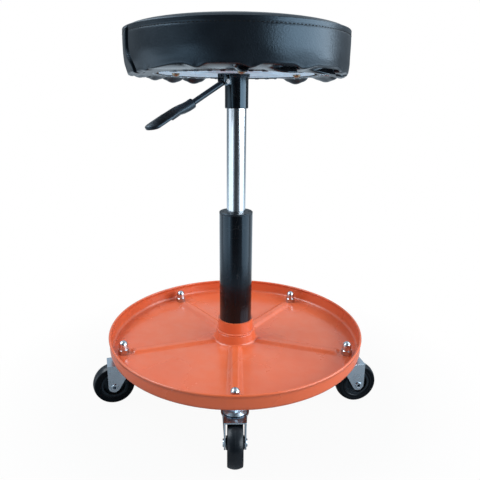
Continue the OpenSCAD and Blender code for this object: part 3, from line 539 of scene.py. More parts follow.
def black_vinyl_finish():
    """Grained black vinyl: rounded pebbles with fine pores, drawn flat and shiny where it is pulled."""
    material, tree, shader = start_finish("black_vinyl", Specular_Tint=COOL)
    place = object_place(tree)
    warp = node(tree, "TexNoise", {"Vector": place, "Scale": 300.0, "Detail": 2.0}).outputs["Color"]
    bent = node(tree, "MixRGB", {0: 0.0018, 1: place, 2: warp}, blend_type="LINEAR_LIGHT").outputs[0]
    cells = {"Vector": bent, "Scale": 520.0, "Smoothness": 0.4}
    pebbles = node(tree, "TexVoronoi", cells, feature="SMOOTH_F1").outputs["Distance"]
    pores = node(tree, "TexNoise", {"Vector": place, "Scale": 1500.0, "Detail": 2.0}).outputs["Fac"]
    height = calc(tree, "ADD", calc(tree, "MULTIPLY", pebbles, -1.0), calc(tree, "MULTIPLY", pores, 0.25))
    cloud = use(tree, mottle, Base=(0.0045, 0.0055, 0.0075, 1), Shade=(0.007, 0.0085, 0.011, 1), Scale=24.0,
                Roughness=0.33, Spread=0.08)
    film = use(tree, dust, Amount=0.03, Scale=80.0)
    pulled = node(tree, "Attribute", attribute_name="pulled").outputs["Fac"]
    raised = stretch(tree, pulled, 0, 1, 0.5, 0.12)
    bump = node(tree, "Bump", {"Strength": raised, "Distance": 0.0002, "Height": height}).outputs[0]
    rough = calc(tree, "MULTIPLY", cloud["Roughness"], stretch(tree, pulled, 0, 1, 1.0, 0.55))
    join(tree, shader, Base_Color=between(tree, film["Mask"], cloud["Colour"], (0.12, 0.12, 0.12, 1)),
         Roughness=rough, Normal=bump)
    return material


def thread_finish():
    """Twisted black thread: fine slanting bands from a wave on its own coordinates."""
    material, tree, shader = start_finish("black_thread", Specular_IOR_Level=0.2)
    twist = node(tree, "TexWave", {"Vector": object_place(tree), "Scale": 900.0, "Distortion": 1.0},
                 bands_direction="DIAGONAL")
    tone = between(tree, twist.outputs["Fac"], (0.003, 0.003, 0.004, 1), (0.012, 0.0125, 0.014, 1))
    bump = node(tree, "Bump", {"Strength": 0.4, "Distance": 0.0001, "Height": twist.outputs["Fac"]})
    rough = stretch(tree, twist.outputs["Fac"], 0.0, 1.0, 0.5, 0.65)
    join(tree, shader, Base_Color=tone, Roughness=rough, Normal=bump.outputs[0])
    return material


def hub_plastic_finish():
    """Dull dark moulded hub with patchy road dust on the faces that look up."""
    material, tree, shader = start_finish("hub_plastic", Specular_Tint=COOL)
    cloud = use(tree, mottle, Base=(0.006, 0.0065, 0.008, 1), Shade=(0.01, 0.0105, 0.012, 1), Scale=90.0,
                Roughness=0.42, Spread=0.1)
    film = use(tree, dust, Amount=0.15, Scale=120.0)
    edges = use(tree, edge_wear_and_highlight, Radius=0.0005)
    grain = use(tree, fine_bumps, Scale=700.0, Height=0.00012, Strength=0.25, Normal=edges["Normal"])
    join(tree, shader, Base_Color=between(tree, film["Mask"], cloud["Colour"], (0.09, 0.085, 0.08, 1)),
         Roughness=cloud["Roughness"], Normal=grain["Normal"])
    return material


def rubber_finish(name, base, shade, film_amount):
    """Black rubber: cloudy, finely grained, greyed by dust, pale at its edges partly from wear and partly as a
    painted highlight, and polished on a tread.
    """
    material, tree, shader = start_finish(
        name, Specular_Tint=COOL, Specular_IOR_Level=0.1, Coat_Roughness=0.28, Coat_IOR=1.6, Coat_Tint=COOL
    )
    cloud = use(tree, mottle, Base=base, Shade=shade, Scale=60.0, Roughness=0.5, Spread=0.12)
    film = use(tree, dust, Amount=film_amount, Scale=110.0)
    edges = use(tree, edge_wear_and_highlight, Radius=0.0008)
    grain = use(tree, fine_bumps, Scale=650.0, Height=0.00015, Strength=0.15, Normal=edges["Normal"])
    # Dust, and edges paled partly by wear and partly as a painted highlight
    marks_and_lit_edges = calc(tree, "MAXIMUM", film["Mask"], calc(tree, "MULTIPLY", edges["Mask"], 0.1))
    polished = node(tree, "Attribute", attribute_name="polished").outputs["Fac"]
    join(tree, shader, Base_Color=between(tree, marks_and_lit_edges, cloud["Colour"], (0.11, 0.108, 0.105, 1)),
         Roughness=cloud["Roughness"], Coat_Weight=polished, Normal=grain["Normal"])
    return material


finishes = {
    "orange_enamel": orange_enamel_finish(),
    "black_enamel": black_enamel_finish(),
    "black_plastic": black_plastic_finish(),
    "chromed_steel": chromed_steel_finish(),
    "bearing_steel": bearing_steel_finish(),
    "zinc_plated_steel": zinc_plated_finish(),
    "galvanised_sheet": galvanised_finish(),
    "yellow_zinc_screws": yellow_zinc_finish(),
    "plywood": plywood_finish(),
    "black_vinyl": black_vinyl_finish(),
    "hub_plastic": hub_plastic_finish(),
    "tyre_rubber": rubber_finish("tyre_rubber", (0.003, 0.0034, 0.0044, 1), (0.006, 0.0066, 0.008, 1), 0.04),
    "stop_rubber": rubber_finish("stop_rubber", (0.012, 0.011, 0.0105, 1), (0.018, 0.017, 0.016, 1), 0.05),
}
thread = thread_finish()


def gather_columns():
    """Turns of the cover's columns, and on each its gather, its place along that gather from 0 to 1 and the
    gather's span.

    The columns are evenly spaced, with more of them beside the gathers' ends and the side panel's lap, and
    none is closer to the one before than a least step. Their number is even, because the cloth takes every
    second one."""
    start = np.radians([gather[0] for gather in GATHERS])
    span = np.diff(start, append=start[0] + TURN)
    even = np.linspace(0, TURN, 320, endpoint=False)
    beside = (start[:, None] + np.linspace(-0.06, 0.06, 18)).ravel()
    lap = LAP_TURN + np.linspace(-0.045, 0.08, 48)
    turn = start[0] + np.sort((np.concatenate([even, beside, lap]) - start[0]) % TURN)
    least_step = 0.0015
    turn = turn[np.append(True, np.diff(turn) > least_step)]
    turn = turn[: len(turn) // 2 * 2]
    gather = np.searchsorted(start, turn, side="right") - 1
    return turn, gather, (turn - start[gather]) / span[gather], span[gather]


def gathered_edge():
    """How the cover's lower edge is gathered, on each column of the cushion.

    A gather's edge is drawn up and let down again by eased steps, and hangs by a power of its arch, which is
    half a sine. A pocket opens along its gather and closes at the gather's end. A gather that hangs is
    slack."""
    turn, gather, place, span = gather_columns()
    drawn, opens, hangs = np.array(GATHERS)[gather, 1:].T
    arch = np.sin(math.pi * place)
    rise = GATHER_RISE * (0.1 + 0.9 * ease(place, 0, drawn) * (1 - ease(place, 0.74, 1.0)))
    hang = GATHER_HANG * hangs * arch**0.7
    return SimpleNamespace(
        turn=turn,
        drawn=drawn,
        arch=arch,
        away=SEAM_R * span * np.minimum(place, 1 - place),
        rise=rise,
        hang=hang,
        foot_z=HEM_Z + rise - hang + EDGE_H,
        pocket=ease(place, opens, 0.3 * opens + 0.62) * (1 - ease(place, 0.93, 0.995)) * (opens < 1),
        slack=ease(hangs, 0.0, 0.9),
    )


def side_rows(edge):
    """Side panel: radius, height and looseness of its rows, from the top seam down to the cover's edge.

    It swells on an ellipse, dips at its stitched row, steps and folds in at its lap, creases over the
    gathers' ends and bulges a little low on each gather. Its foot is tucked in, most in front, and let out at
    the right."""
    near = np.array([0.7, 1.5, 2.3, 3.1, 3.9, 4.7, 5.4, 6.1, 7.0, 8.3])[:, None] / 1000 + 0 * edge.turn
    rest = near[-1] + (SEAM_Z - edge.foot_z - near[-1]) * np.linspace(0, 1, 21)[1:, None]
    drop = np.vstack([near, rest])
    share = drop / SIDE_H
    lap_turn = LAP_TURN + 0.055 * ease(share, 0.45, 0.95) - 0.015 * bell(share, 0.4, 0.25)
    past_lap = SEAM_R * ((edge.turn - lap_turn + math.pi) % TURN - math.pi)
    step = LAP_STEP * ease(past_lap, -0.0012, -0.0028) * ease(past_lap, -0.03, -0.004)
    lap_fold = step - LAP_GROOVE * bell(past_lap, -0.0006, 0.0014)
    swell = SIDE_SWELL * np.sqrt(np.clip(1 - ((share - 0.36) / 0.66) ** 2, 0, 1))
    stitch_dip = -0.0004 * bell(drop, STITCH_DROP, 0.0012)
    crease = -0.0006 * ease(share, 0.78, 0.97) ** 2 * bell(edge.away, 0, 0.004)
    bulge = 0.0013 * bell(share, 0.78, 0.12) * edge.arch**2 * (0.3 + 0.7 * edge.drawn)
    front = np.clip(-np.sin(edge.turn), 0, 1)
    right = np.clip(np.cos(edge.turn), 0, 1)
    tuck = FOOT_TUCK * ease(share, 0.52, 1.08) * (0.45 + 0.55 * front - 0.75 * right**2)
    radius = SEAM_R + swell + stitch_dip + crease + bulge - tuck + lap_fold * ease(drop, 0.0005, 0.003)
    held = bell(edge.away, 0, 0.004) * ease(share, 0.55, 0.85)
    loose = ease(drop, 0.0065, 0.012) * (1 - held) * ease(np.abs(past_lap), 0.005, 0.012)
    return radius, SEAM_Z - drop, loose


def underside_rows(edge, foot_r):
    """Rounded edge and underside of the cover: radius, height and looseness of their rows, in to the hem.

    The edge is about a quarter round. The underside falls from the drawn-up edge to the hem with the third
    power of the way left, sags at each hanging gather, and rolls down beside the hem where it isn't slack.
    At a pocket it follows the pocket's fold: a hollow behind the edge with a lip inside it."""
    bend = np.radians(np.linspace(11, 78, 8))[:, None]
    bend_r = foot_r - EDGE_IN * (1 - np.cos(bend))
    bend_z = edge.foot_z - EDGE_H * np.sin(bend)
    bend_loose = (1 - bell(edge.away, 0, 0.004)) * (0.15 + 0.75 * edge.slack) * (1 - edge.pocket) + 0 * bend

    stretches = [np.linspace(0, 0.36, 17)[1:], np.linspace(0.36, 0.8, 7)[1:], np.linspace(0.8, 1, 10)[1:]]
    inward = np.concatenate(stretches)[:, None]
    rim_r = bend_r[-1]
    flat_r = rim_r + (HEM_R - rim_r) * inward
    sag = np.interp(inward, [0, 0.08, 0.16, 0.24, 0.32, 0.42, 1], [1, 0.97, 0.8, 0.5, 0.2, 0.03, 0])
    roll = HEM_ROLL * bell(inward, 0.92, 0.045) * (1 - edge.slack)
    flat_z = HEM_Z + edge.rise * (1 - inward) ** 3 - edge.hang * sag - roll
    step = np.linspace(0, len(POCKET) - 1, len(inward))
    ways = np.array(POCKET).T / 1000
    fold_in, fold_up = [np.interp(step, range(len(POCKET)), way)[:, None] for way in ways]
    under_r = flat_r + edge.pocket * (rim_r - fold_in - flat_r)
    under_z = flat_z + edge.pocket * (HEM_Z + fold_up - flat_z)
    freed = (1 - bell(edge.away, 0, 0.005)) * (1 - ease(inward, 0.4, 0.7))
    under_loose = freed * (0.1 + 0.8 * edge.slack) * (1 - edge.pocket)
    return np.vstack([bend_r, under_r]), np.vstack([bend_z, under_z]), np.vstack([bend_loose, under_loose])


def cushion_rows():
    """Turns of the cushion's columns, and radius, height, looseness and pull of its surface on every row.

    The rows run from the crown to the board. The crown is a quarter of a flat ellipse, and the top seam a
    groove and a tight ridge. The side panel and the underside follow, and the rest lies round the board
    inside the cover. The cover is pulled from its edge on, but not on a slack gather or near a gather's
    end."""
    edge = gathered_edge()
    tilt = np.radians(np.linspace(5, 74, 26))[:, None]
    crown_r = SEAM_R * np.sin(tilt)
    crown_z = SEAM_Z + CROWN_H * np.cos(tilt)
    crown_loose = 0.2 * (1 - ease(crown_r, 0.128, 0.144))
    seam_r = np.array([0.1455, 0.1468, 0.1482, 0.1497, 0.1509, 0.1517, 0.152])[:, None]
    seam_z = SEAM_Z + np.array([0.0026, 0.0013, 0.0009, 0.0011, 0.0012, 0.0009, 0.0002])[:, None]
    side_r, side_z, side_loose = side_rows(edge)
    under_r, under_z, under_loose = underside_rows(edge, side_r[-1])
    inner_r = np.array([HEM_R - 0.0003, HEM_R + 0.0004, BOARD_R, BOARD_R, 0.128, 0.06])[:, None]
    inner_z = np.array([HEM_Z + 0.0009, BOARD_LOW, BOARD_LOW, BOARD_TOP, BOARD_TOP, BOARD_TOP])[:, None]

    wide = np.zeros_like(edge.turn)
    radius = np.vstack([crown_r + wide, seam_r + wide, side_r, under_r, inner_r + wide])
    height = np.vstack([crown_z + wide, seam_z + wide, side_z, under_z, inner_z + wide])
    loose = np.vstack([crown_loose + wide, 0 * seam_r + wide, side_loose, under_loose, 0 * inner_r + wide])
    tight = np.ones_like(radius) * (1 - edge.slack) * (1 - bell(edge.away, 0, 0.011))
    tight[: len(crown_r) + len(seam_r) + len(side_r)] = 0
    return edge.turn, radius, height, loose, tight


def loose_cover(points, poles, held):
    """Cloth on a grid's mesh, with a light pressure inside it, and sewn to its place where it is held."""
    cover = bpy.data.objects.new("loose_cover", grid_mesh("loose_cover", points, poles=poles))
    scene.collection.objects.link(cover)
    sewn = cover.vertex_groups.new(name="sewn")
    level = np.round(np.append(held, [1, 1]) * 10).astype(int)
    for step in range(1, 11):
        sewn.add(np.flatnonzero(level == step).tolist(), step / 10, "REPLACE")
    cloth = cover.modifiers.new("puff", "CLOTH")
    cloth.settings.quality = 6
    cloth.settings.mass = 0.2
    cloth.settings.air_damping = 3
    cloth.settings.tension_stiffness = 40
    cloth.settings.compression_stiffness = 40
    cloth.settings.shear_stiffness = 20
    cloth.settings.bending_stiffness = 4
    cloth.settings.use_pressure = True
    cloth.settings.uniform_pressure_force = 3
    cloth.settings.vertex_group_mass = "sewn"
    cloth.settings.effector_weights.gravity = 0
    cloth.collision_settings.use_collision = False
    cloth.point_cache.frame_start = 1
    cloth.point_cache.frame_end = CLOTH_STEPS
    return cover


def puff_up(points, poles, loose, most):
    """Moves of a grid's points when the grid, taken at every second row and column, is swollen as cloth.

    Sewn points stay, no point moves further than most, and a point between two that were taken moves by the
    middle of their moves."""
    few = points[::2, ::2]
    held = 1 - loose[::2, ::2].ravel()
    cover = loose_cover(few, poles, held)
    for moment in range(1, CLOTH_STEPS + 1):
        scene.frame_set(moment)
    mesh = cover.data
    swollen = np.zeros(len(mesh.vertices) * 3, np.float32)
    shown = cover.evaluated_get(bpy.context.evaluated_depsgraph_get())
    shown.data.vertices.foreach_get("co", swollen)
    scene.frame_set(1)
    bpy.data.objects.remove(cover)
    bpy.data.meshes.remove(mesh)
    move = swollen.reshape(-1, 3)[: held.size].reshape(few.shape) - few
    length = np.linalg.norm(move, axis=-1, keepdims=True)
    move *= np.minimum(1, most / np.maximum(length, 1e-9))
    rows = np.repeat(move, 2, axis=0)[: len(points)]
    rows[1:-1:2] = (move[:-1] + move[1:]) / 2
    full = np.repeat(rows, 2, axis=1)
    full[:, 1::2] = (rows + np.roll(rows, -1, axis=1)) / 2
    return full


def cushion():
    """Sewn seat cushion, closed from the middle of the crown to the middle of the board inside it."""
    turn, radius, height, loose, tight = cushion_rows()
    points = round_axis(radius, height, turn)[::-1]
    poles = (0, 0, BOARD_TOP), (0, 0, SEAM_Z + CROWN_H)
    points = points + puff_up(points, poles, loose[::-1], PUFF_MOST)
    piece = skin("seat_cushion", points, finishes["black_vinyl"], "seat", poles=poles)
    store_mask(piece, "pulled", np.append(tight[::-1].ravel(), [1, 0]))
    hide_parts("seat_cover", "seat_foam")
    return turn, radius, height


def sewn_row(name, material, body, radius, height, count, length, thick, out, sink):
    """Row of stitches or staples round the axis. Its radius and its height are pairs of turns and values.

    Each is a short tube along the row, on a path that stands out by about a third of its thickness in the
    middle and sinks with the fourth power of the distance towards both ends, where the tube tapers."""
    along = np.linspace(-1, 1, 7)[:, None]
    middle = TURN / count * np.arange(count)[:, None, None]
    turn = middle + along * length / 2 / np.mean(radius[1])
    proud = 0.35 * thick - sink * along**4
    path_r = np.interp(turn, *radius, period=TURN) + out[0] * proud
    path_z = np.interp(turn, *height, period=TURN) + out[1] * proud
    around = -TURN * np.arange(6) / 6
    size = thick / 2 * (1 - 0.4 * along**6)
    points = round_axis(path_r + size * np.cos(around), path_z + size * np.sin(around), turn)
    tips = points.mean(axis=2)
    return skin(name, points, material, body, poles=(tips[:, 0], tips[:, -1]))


def cushion_sewing(turn, radius, height):
    """Stitched row under the top seam, and the staples that hold the hem to the board."""
    stitched = np.argmin(np.abs(height[:, 0] - (SEAM_Z - STITCH_DROP)))
    sewn_row("top_stitching", thread, "seat", (turn, radius[stitched]), (turn, height[stitched]),
             STITCHES, STITCH_L, THREAD_D, out=(1, 0), sink=0.0007)
    stapled = np.flatnonzero(np.abs(radius[:, 0] - STAPLE_R) < 0.002)[-1]
    steel = finishes["zinc_plated_steel"]
    staples = sewn_row("hem_staples", steel, "seat", (turn, radius[stapled]), (turn, height[stapled]),
                       STAPLES, STAPLE_L, STAPLE_D, out=(0, -1), sink=0.0008)


def tray_line():
    """Middle line of the tray's sheet, as radius and height: down the collar, round a fillet, out along the
    floor with finer steps at the ribs' ends, round the bend and up the wall."""
    top = np.array([COLLAR_TOP_R, COLLAR_TOP_Z])
    foot = np.array([COLLAR_FOOT_R, FLOOR_Z])
    fall = (foot - top) / np.linalg.norm(foot - top)
    turned = math.acos(fall[0])
    run = COLLAR_FILLET * math.tan(turned / 2)
    collar = top + (foot - fall * run - top) * np.linspace(0, 1, 8)[:-1, None]
    low = np.linspace(-math.pi / 2 - turned, -math.pi / 2, 9)[:, None]
    corner = foot + (run, COLLAR_FILLET) + COLLAR_FILLET * np.hstack([np.cos(low), np.sin(low)])
    fine_from, fine_to = 0.154, 0.172
    reach = np.concatenate([
        np.linspace(foot[0] + run, fine_from, 28)[1:],
        np.linspace(fine_from, fine_to, 13)[1:],
        np.linspace(fine_to, WALL_R - WALL_BEND, 7)[1:],
    ])[:, None]
    floor = np.hstack([reach, np.full_like(reach, FLOOR_Z)])
    rise = np.linspace(-math.pi / 2, 0, 9)[1:, None]
    centre = np.array([WALL_R - WALL_BEND, FLOOR_Z + WALL_BEND])
    curve = centre + WALL_BEND * np.hstack([np.cos(rise), np.sin(rise)])
    up = np.linspace(FLOOR_Z + WALL_BEND, WALL_TOP, 5)[1:, None]
    wall = np.hstack([np.full_like(up, WALL_R), up])
    return np.vstack([collar, corner, floor, curve, wall])


def tray_dish():
    """Pressed dish. The sheet is its middle line moved half its thickness to each side, and the rolled rim is
    part of a circle that joins both sides. A rib towards each caster lifts the floor: flat on top, with eased
    flanks and eased ends."""
    line = tray_line()
    slope = np.gradient(line, axis=0)
    slope /= np.linalg.norm(slope, axis=1, keepdims=True)
    under = np.stack([slope[:, 1], -slope[:, 0]], axis=-1) * SHEET / 2
    roll = np.radians(np.linspace(-60, 240, 15))[:, None]
    rim = np.array([WALL_R, RIM_Z]) + RIM_ROLL * np.hstack([np.cos(roll), np.sin(roll)])
    profile = np.vstack([line + under, rim, (line - under)[::-1]])

    sector = np.concatenate([np.arange(-36, -12, 1.5), np.arange(-12, 12, 0.5), np.arange(12, 36, 1.5)])
    off = np.tile(np.radians(sector), CASTERS)
    turn = np.repeat(math.radians(-90) + TURN / CASTERS * np.arange(CASTERS), len(sector)) + off
    radius, height = profile[:, :1], profile[:, 1:]
    across = np.abs(radius * np.sin(off))
    flank = 1 - ease(across, RIB_HALF_TOP, RIB_HALF_FOOT)
    span = ease(radius, *RIB_START) * (1 - ease(radius, *RIB_END))
    points = round_axis(radius, height + RIB_H * flank * span, turn)
    piece = skin("tray_dish", points, finishes["orange_enamel"], "base", ring_rows=True)
    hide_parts("tray")


def weld_bead(name, slot, body, radius, height, size, ripples):
    """Rippled weld bead: a ring whose small circle swells with one rounded ripple after another."""
    turn = np.linspace(0, TURN, ripples * 8, endpoint=False)
    ripple = np.abs(np.sin(turn * ripples / 2 + 0.35 * np.sin(turn * 5)))
    small = size * (0.82 + 0.22 * ripple + 0.05 * np.sin(turn * 7 + 1))
    around = np.linspace(0, TURN, 14, endpoint=False)[:, None]
    points = round_axis(radius + small * np.cos(around), height + small * np.sin(around), turn)
    piece = skin(name, points, finishes[slot], body, ring_rows=True)


def lever_grip():
    """Moulded grip, a loft along the lever's own line: a round collar that flattens into a cupped blade with
    a round end. Each section is a rounded rectangle whose width, thickness, rise and squareness are eased
    along the line, and whose sides droop with the square of their distance from the middle."""
    out = np.array([math.cos(LEVER_TURN), math.sin(LEVER_TURN), 0])
    across = np.array([-math.sin(LEVER_TURN), math.cos(LEVER_TURN), 0])
    along = math.cos(LEVER_FALL) * out - np.array([0, 0, math.sin(LEVER_FALL)])
    normal = math.sin(LEVER_FALL) * out + np.array([0, 0, math.cos(LEVER_FALL)])
    pivot = LEVER_PIVOT_R * out + np.array([0, 0, LEVER_PIVOT_Z])
    mouth = [GRIP_START, 0.0603, 0.061, 0.0625]
    round_end = GRIP_END - BLADE_HALF_WIDE * (1 - np.sin(np.linspace(0.05, 1.5, 14)))
    s = np.concatenate([mouth, np.linspace(0.066, 0.122, 30), round_end])[:, None]
    collar = GRIP_COLLAR_R * (0.8 + 0.2 * ease(s, 0.0597, 0.0612))
    tip = np.sqrt(np.clip(1 - ((s - GRIP_END + BLADE_HALF_WIDE) / BLADE_HALF_WIDE) ** 2, 0, 1))
    tip = np.where(s > GRIP_END - BLADE_HALF_WIDE, tip, 1.0)
    wide = (collar + (BLADE_HALF_WIDE - collar) * ease(s, 0.07, 0.108)) * tip
    flat = ease(s, 0.078, 0.104)
    deep = (collar + (BLADE_HALF_DEEP - collar) * flat) * (0.35 + 0.65 * tip**0.5)
    rise = BLADE_RISE * ease(s, 0.066, 0.108)
    square = 2 + 1.2 * flat
    around = np.linspace(0, TURN, 40, endpoint=False)
    x = wide * np.sign(np.cos(around)) * np.abs(np.cos(around)) ** (2 / square)
    y = deep * np.sign(np.sin(around)) * np.abs(np.sin(around)) ** (2 / square)
    y = y + rise - BLADE_DROOP * flat * (x / BLADE_HALF_WIDE) ** 2
    points = pivot + s[..., None] * along + x[..., None] * across + y[..., None] * normal
    tips = points.mean(axis=1)
    piece = skin("lever_grip", points, finishes["black_plastic"], "lever", poles=(tips[0], tips[-1]))
    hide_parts("lever_paddle")


def plate_screws():
    """Four pan-head screws. A head is half a flat ellipse with a cross sunk into it: the sink is deep where a
    point is near one of two crossed lines and close to the middle. The shank is a plain pin with a short
    cone."""
    tilt = np.radians(np.linspace(3, 90, 22))[:, None]
    column = np.linspace(0, TURN, 56, endpoint=False)
    head_r = HEAD_R * np.sin(tilt)
    head_z = -HEAD_H * np.cos(tilt)
    shank_r = np.array([SHANK_R, SHANK_R, TIP_R])[:, None]
    shank_z = np.array([0.0001, SHANK_TOP, TIP_TOP])[:, None]
    arm_x = np.abs(head_r * np.cos(column))
    arm_y = np.abs(head_r * np.sin(column))
    cross = np.maximum(1 - ease(arm_x, *RECESS_HALF), 1 - ease(arm_y, *RECESS_HALF))
    sunk = RECESS_DEPTH * cross * (1 - ease(head_r, *RECESS_R))
    radius = np.vstack([head_r, shank_r]) + 0 * column
    height = np.vstack([head_z + sunk, shank_z + 0 * column])
    place = SCREW_TURN + TURN / SCREWS * np.arange(SCREWS)[:, None, None]
    driven = column + np.array(RECESS_TURNS)[:, None, None]
    x = radius * np.cos(driven) + SCREW_RING_R * np.cos(place)
    y = radius * np.sin(driven) + SCREW_RING_R * np.sin(place)
    points = np.stack(np.broadcast_arrays(x, y, PLATE_LOW + height), axis=-1)
    low, high = points[:, 0].mean(axis=1), points[:, -1].mean(axis=1)
    piece = skin("plate_screws", points, finishes["yellow_zinc_screws"], "seat", poles=(low, high))
    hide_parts("seat_screws")


def tyre_profile():
    """Closed profile of a tyre, as places across the wheel and radii.

    Half of it runs from the middle of the tread, where a fine parting line stands up, along an arc across
    the wheel, round a shoulder that ends square to the axle, down a side with a shallow groove, and over a
    bevel to the bore. The other half mirrors it."""
    across = np.concatenate([[0, 0.0001, 0.0002, 0.00035, 0.0005], np.linspace(0.0008, TREAD_HALF, 18)])
    parting = PARTING_H * (bell(across, 0, 0.00025) - 1)
    arc = TYRE_R - TYRE_CROWN + np.sqrt(TYRE_CROWN**2 - across**2)
    tread = np.stack([across, arc + parting], axis=-1)
    lean = math.asin(TREAD_HALF / TYRE_CROWN)
    shoulder = (TYRE_HALF - TREAD_HALF) / (1 - math.sin(lean))
    bend = np.linspace(lean, math.pi / 2, 9)[1:]
    bends = np.stack([np.sin(bend) - math.sin(lean), np.cos(bend) - math.cos(lean)], axis=-1)
    corner = tread[-1] + shoulder * bends
    down = np.linspace(corner[-1, 1], TYRE_BORE + BEVEL_H, 12)[1:]
    side = np.stack([TYRE_HALF - GROOVE_DEPTH * bell(down, GROOVE_R, GROOVE_WIDTH), down], axis=-1)
    half = np.vstack([tread, corner, side, [(TYRE_HALF - BEVEL_IN, TYRE_BORE)]])
    return np.vstack([half[:0:-1] * (-1, 1), half])


def rounded_tyres():
    """Five moulded tyres, each the tyre's profile turned about its axle, with a tread polished by use."""
    profile = tyre_profile()
    across, radius = profile[:, :1, None], profile[:, 1:, None]
    turn = np.linspace(0, TURN, 128, endpoint=False)[:, None]
    beside = ease(np.abs(profile[:, 0]), 0.97 * TREAD_HALF, 0.97 * TYRE_HALF)
    polished = np.repeat(TREAD_POLISH * (1 - beside), len(turn))
    rubber = finishes["tyre_rubber"]
    up = np.array([0.0, 0.0, 1.0])
    for joint in frame["joints"]:
        place = joint["name"].removeprefix("wheel_spin_")
        if place == joint["name"]:
            continue
        axle = np.array(joint["axis"])
        rim = np.cos(turn) * up + np.sin(turn) * np.cross(axle, up)
        points = joint["pos_m"] + across * axle + radius * rim
        piece = skin("rounded_tyre_" + place, points, rubber, joint["child"], ring_rows=True)
        store_mask(piece, "polished", polished)
        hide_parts("tyre_" + place)


def mirrored_rays(tree):
    """Mask of the rays that a glossy face throws back or a clear one lets through."""
    rays = node(tree, "LightPath").outputs
    return calc(tree, "MAXIMUM", rays["Is Glossy Ray"], rays["Is Transmission Ray"])


def studio_floor():
    """Round grey floor that is white to the camera, but for a small share of its own shade near the middle,
    which keeps a soft shadow. Mirrored rays find it white behind the object."""
    material = bpy.data.materials.new("studio_floor")
    material.use_nodes = True
    tree = material.node_tree
    lit = tree.nodes["Principled BSDF"]
    lit.inputs["Roughness"].default_value = 0.9
    lit.inputs["Specular IOR Level"].default_value = 0.1
    place = object_place(tree)
    speckle = node(tree, "TexNoise", {"Vector": place, "Scale": 90.0, "Detail": 4.0}).outputs["Fac"]
    join(tree, lit, Base_Color=between(tree, speckle, (0.33, 0.33, 0.33, 1), (0.35, 0.35, 0.35, 1)))
    white = node(tree, "Emission", {"Color": (1, 1, 1, 1), "Strength": 1.0}).outputs[0]
    reach = node(tree, "VectorMath", {0: place}, operation="LENGTH").outputs["Value"]
    seen = calc(tree, "MULTIPLY", node(tree, "LightPath").outputs["Is Camera Ray"],
                stretch(tree, reach, 0.25, 0.42, 0.95, 1.0))
    back = stretch(tree, node(tree, "SeparateXYZ", {0: place}).outputs["Y"], 0.3, 0.5)
    share = calc(tree, "MAXIMUM", seen, calc(tree, "MULTIPLY", mirrored_rays(tree), back))
    blend = node(tree, "MixShader", {0: share, 1: lit.outputs[0], 2: white}).outputs[0]
    tree.links.new(blend, tree.nodes["Material Output"].inputs["Surface"])
    radius = np.array([0.05, 0.2, 0.4, 0.55])[:, None]
    points = round_axis(radius, 0.0, np.linspace(0, TURN, 96, endpoint=False)[::-1])
    mesh_floor = skin("floor", points, material, "base", poles=((0, 0, 0), None))
    mesh_floor.parent = None


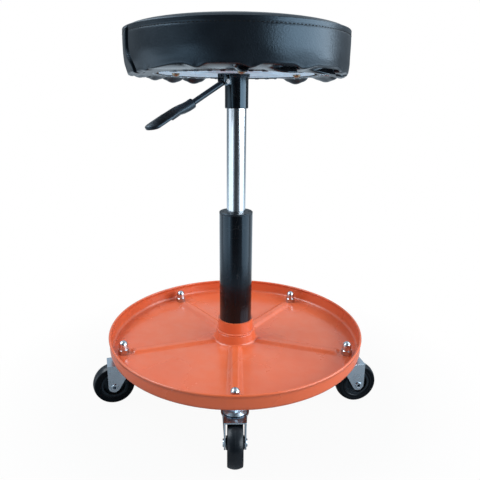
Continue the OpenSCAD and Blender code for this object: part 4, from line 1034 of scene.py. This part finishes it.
def surroundings():
    """World that is white to the camera. To the object it is a room that is pale above and below, dimmer
    between them and darkest ahead, where the camera stands, with a low glow at both sides of it, most at the
    left. Mirrored rays also find a white ground behind the object."""
    world = bpy.data.worlds.new("studio")
    scene.world = world
    world.use_nodes = True
    tree = world.node_tree
    split = node(tree, "SeparateXYZ", {0: node(tree, "TexCoord").outputs["Generated"]}).outputs
    aside = calc(tree, "ARCTAN2", split["X"], calc(tree, "MULTIPLY", split["Y"], -1.0))
    off_middle = calc(tree, "ABSOLUTE", calc(tree, "ADD", aside, math.radians(2)))
    ahead = stretch(tree, off_middle, math.radians(40), math.radians(14))

    glow = stretch(tree, off_middle, math.radians(17), math.radians(43), 0.0, 1.1)
    glow = calc(tree, "MULTIPLY", glow, stretch(tree, off_middle, math.radians(62), math.radians(45)))
    glow = calc(tree, "MULTIPLY", glow, stretch(tree, split["Z"], 0.08, -0.05))
    glow = calc(tree, "MULTIPLY", glow, stretch(tree, aside, 0.0, 0.2, 1.0, 0.2))

    above = stretch(tree, split["Z"], 0.1, 0.5, 0.29, 0.76)
    below = stretch(tree, split["Z"], -0.05, -0.3, 0.29, 0.82)
    pale = calc(tree, "MAXIMUM", above, below)
    pale = calc(tree, "MULTIPLY", pale, stretch(tree, split["Y"], -0.85, -0.1, 0.4, 1.0))
    pale = calc(tree, "MULTIPLY", pale, stretch(tree, ahead, 0.0, 1.0, 1.0, 0.26))

    behind = stretch(tree, split["Y"], -0.1, 0.4)
    ground = calc(tree, "MULTIPLY", behind, stretch(tree, split["Z"], -0.09, -0.22, 0.0, 1.1))
    ground = calc(tree, "MULTIPLY", ground, mirrored_rays(tree))
    seen = node(tree, "LightPath").outputs["Is Camera Ray"]
    strength = calc(tree, "MAXIMUM", calc(tree, "MAXIMUM", pale, glow), calc(tree, "MAXIMUM", seen, ground))
    join(tree, tree.nodes["Background"], Strength=strength,
         Color=between(tree, seen, (0.76, 0.89, 1.0, 1), (1, 1, 1, 1)))


def softbox(name, place, aim, width, height, power):
    """Rectangular studio lamp that looks at a point and isn't seen by the camera."""
    lamp = bpy.data.lights.new(name, "AREA")
    lamp.shape = "RECTANGLE"
    lamp.size = width
    lamp.size_y = height
    lamp.energy = power
    lamp.color = LAMP_TINT
    lit = bpy.data.objects.new(name, lamp)
    lit.location = place
    lit.rotation_mode = "QUATERNION"
    lit.rotation_quaternion = (Vector(aim) - Vector(place)).to_track_quat("-Z", "Y")
    lit.visible_camera = False
    scene.collection.objects.link(lit)


def photo_camera():
    """Camera at the photograph's place, turned aside, tilted down and rolled a little."""
    lens = bpy.data.cameras.new("photo_camera")
    lens.sensor_width = SENSOR
    lens.lens = FOCAL_LENGTH
    camera = bpy.data.objects.new("photo_camera", lens)
    turned = Matrix.Rotation(CAMERA_ASIDE, 4, "Z") @ Matrix.Rotation(math.pi / 2 - CAMERA_DOWN, 4, "X")
    rolled = turned @ Matrix.Rotation(CAMERA_ROLL, 4, "Z")
    camera.matrix_world = Matrix.Translation(CAMERA_PLACE) @ rolled
    scene.collection.objects.link(camera)
    scene.camera = camera


def studio():
    """Floor, surroundings, two lamps at each side, one high behind and the camera."""
    studio_floor()
    surroundings()
    for lamp in LAMPS:
        softbox(*lamp)
    photo_camera()
    scene.view_settings.view_transform = "Standard"


for part in frame["record"]["subparts"]:
    if part["material_slot"] in finishes:
        shown = frame["nodes"][part["node"]]
        shown.data.materials.clear()
        shown.data.materials.append(finishes[part["material_slot"]])

studio()
tray_dish()
weld_bead("hub_weld", "orange_enamel", "base", radius=0.0284, height=0.0941, size=0.0019, ripples=60)
weld_bead("sleeve_weld", "black_enamel", "seat", radius=0.0172, height=0.4792, size=0.0012, ripples=40)
lever_grip()
plate_screws()
rounded_tyres()
cushion_sewing(*cushion())
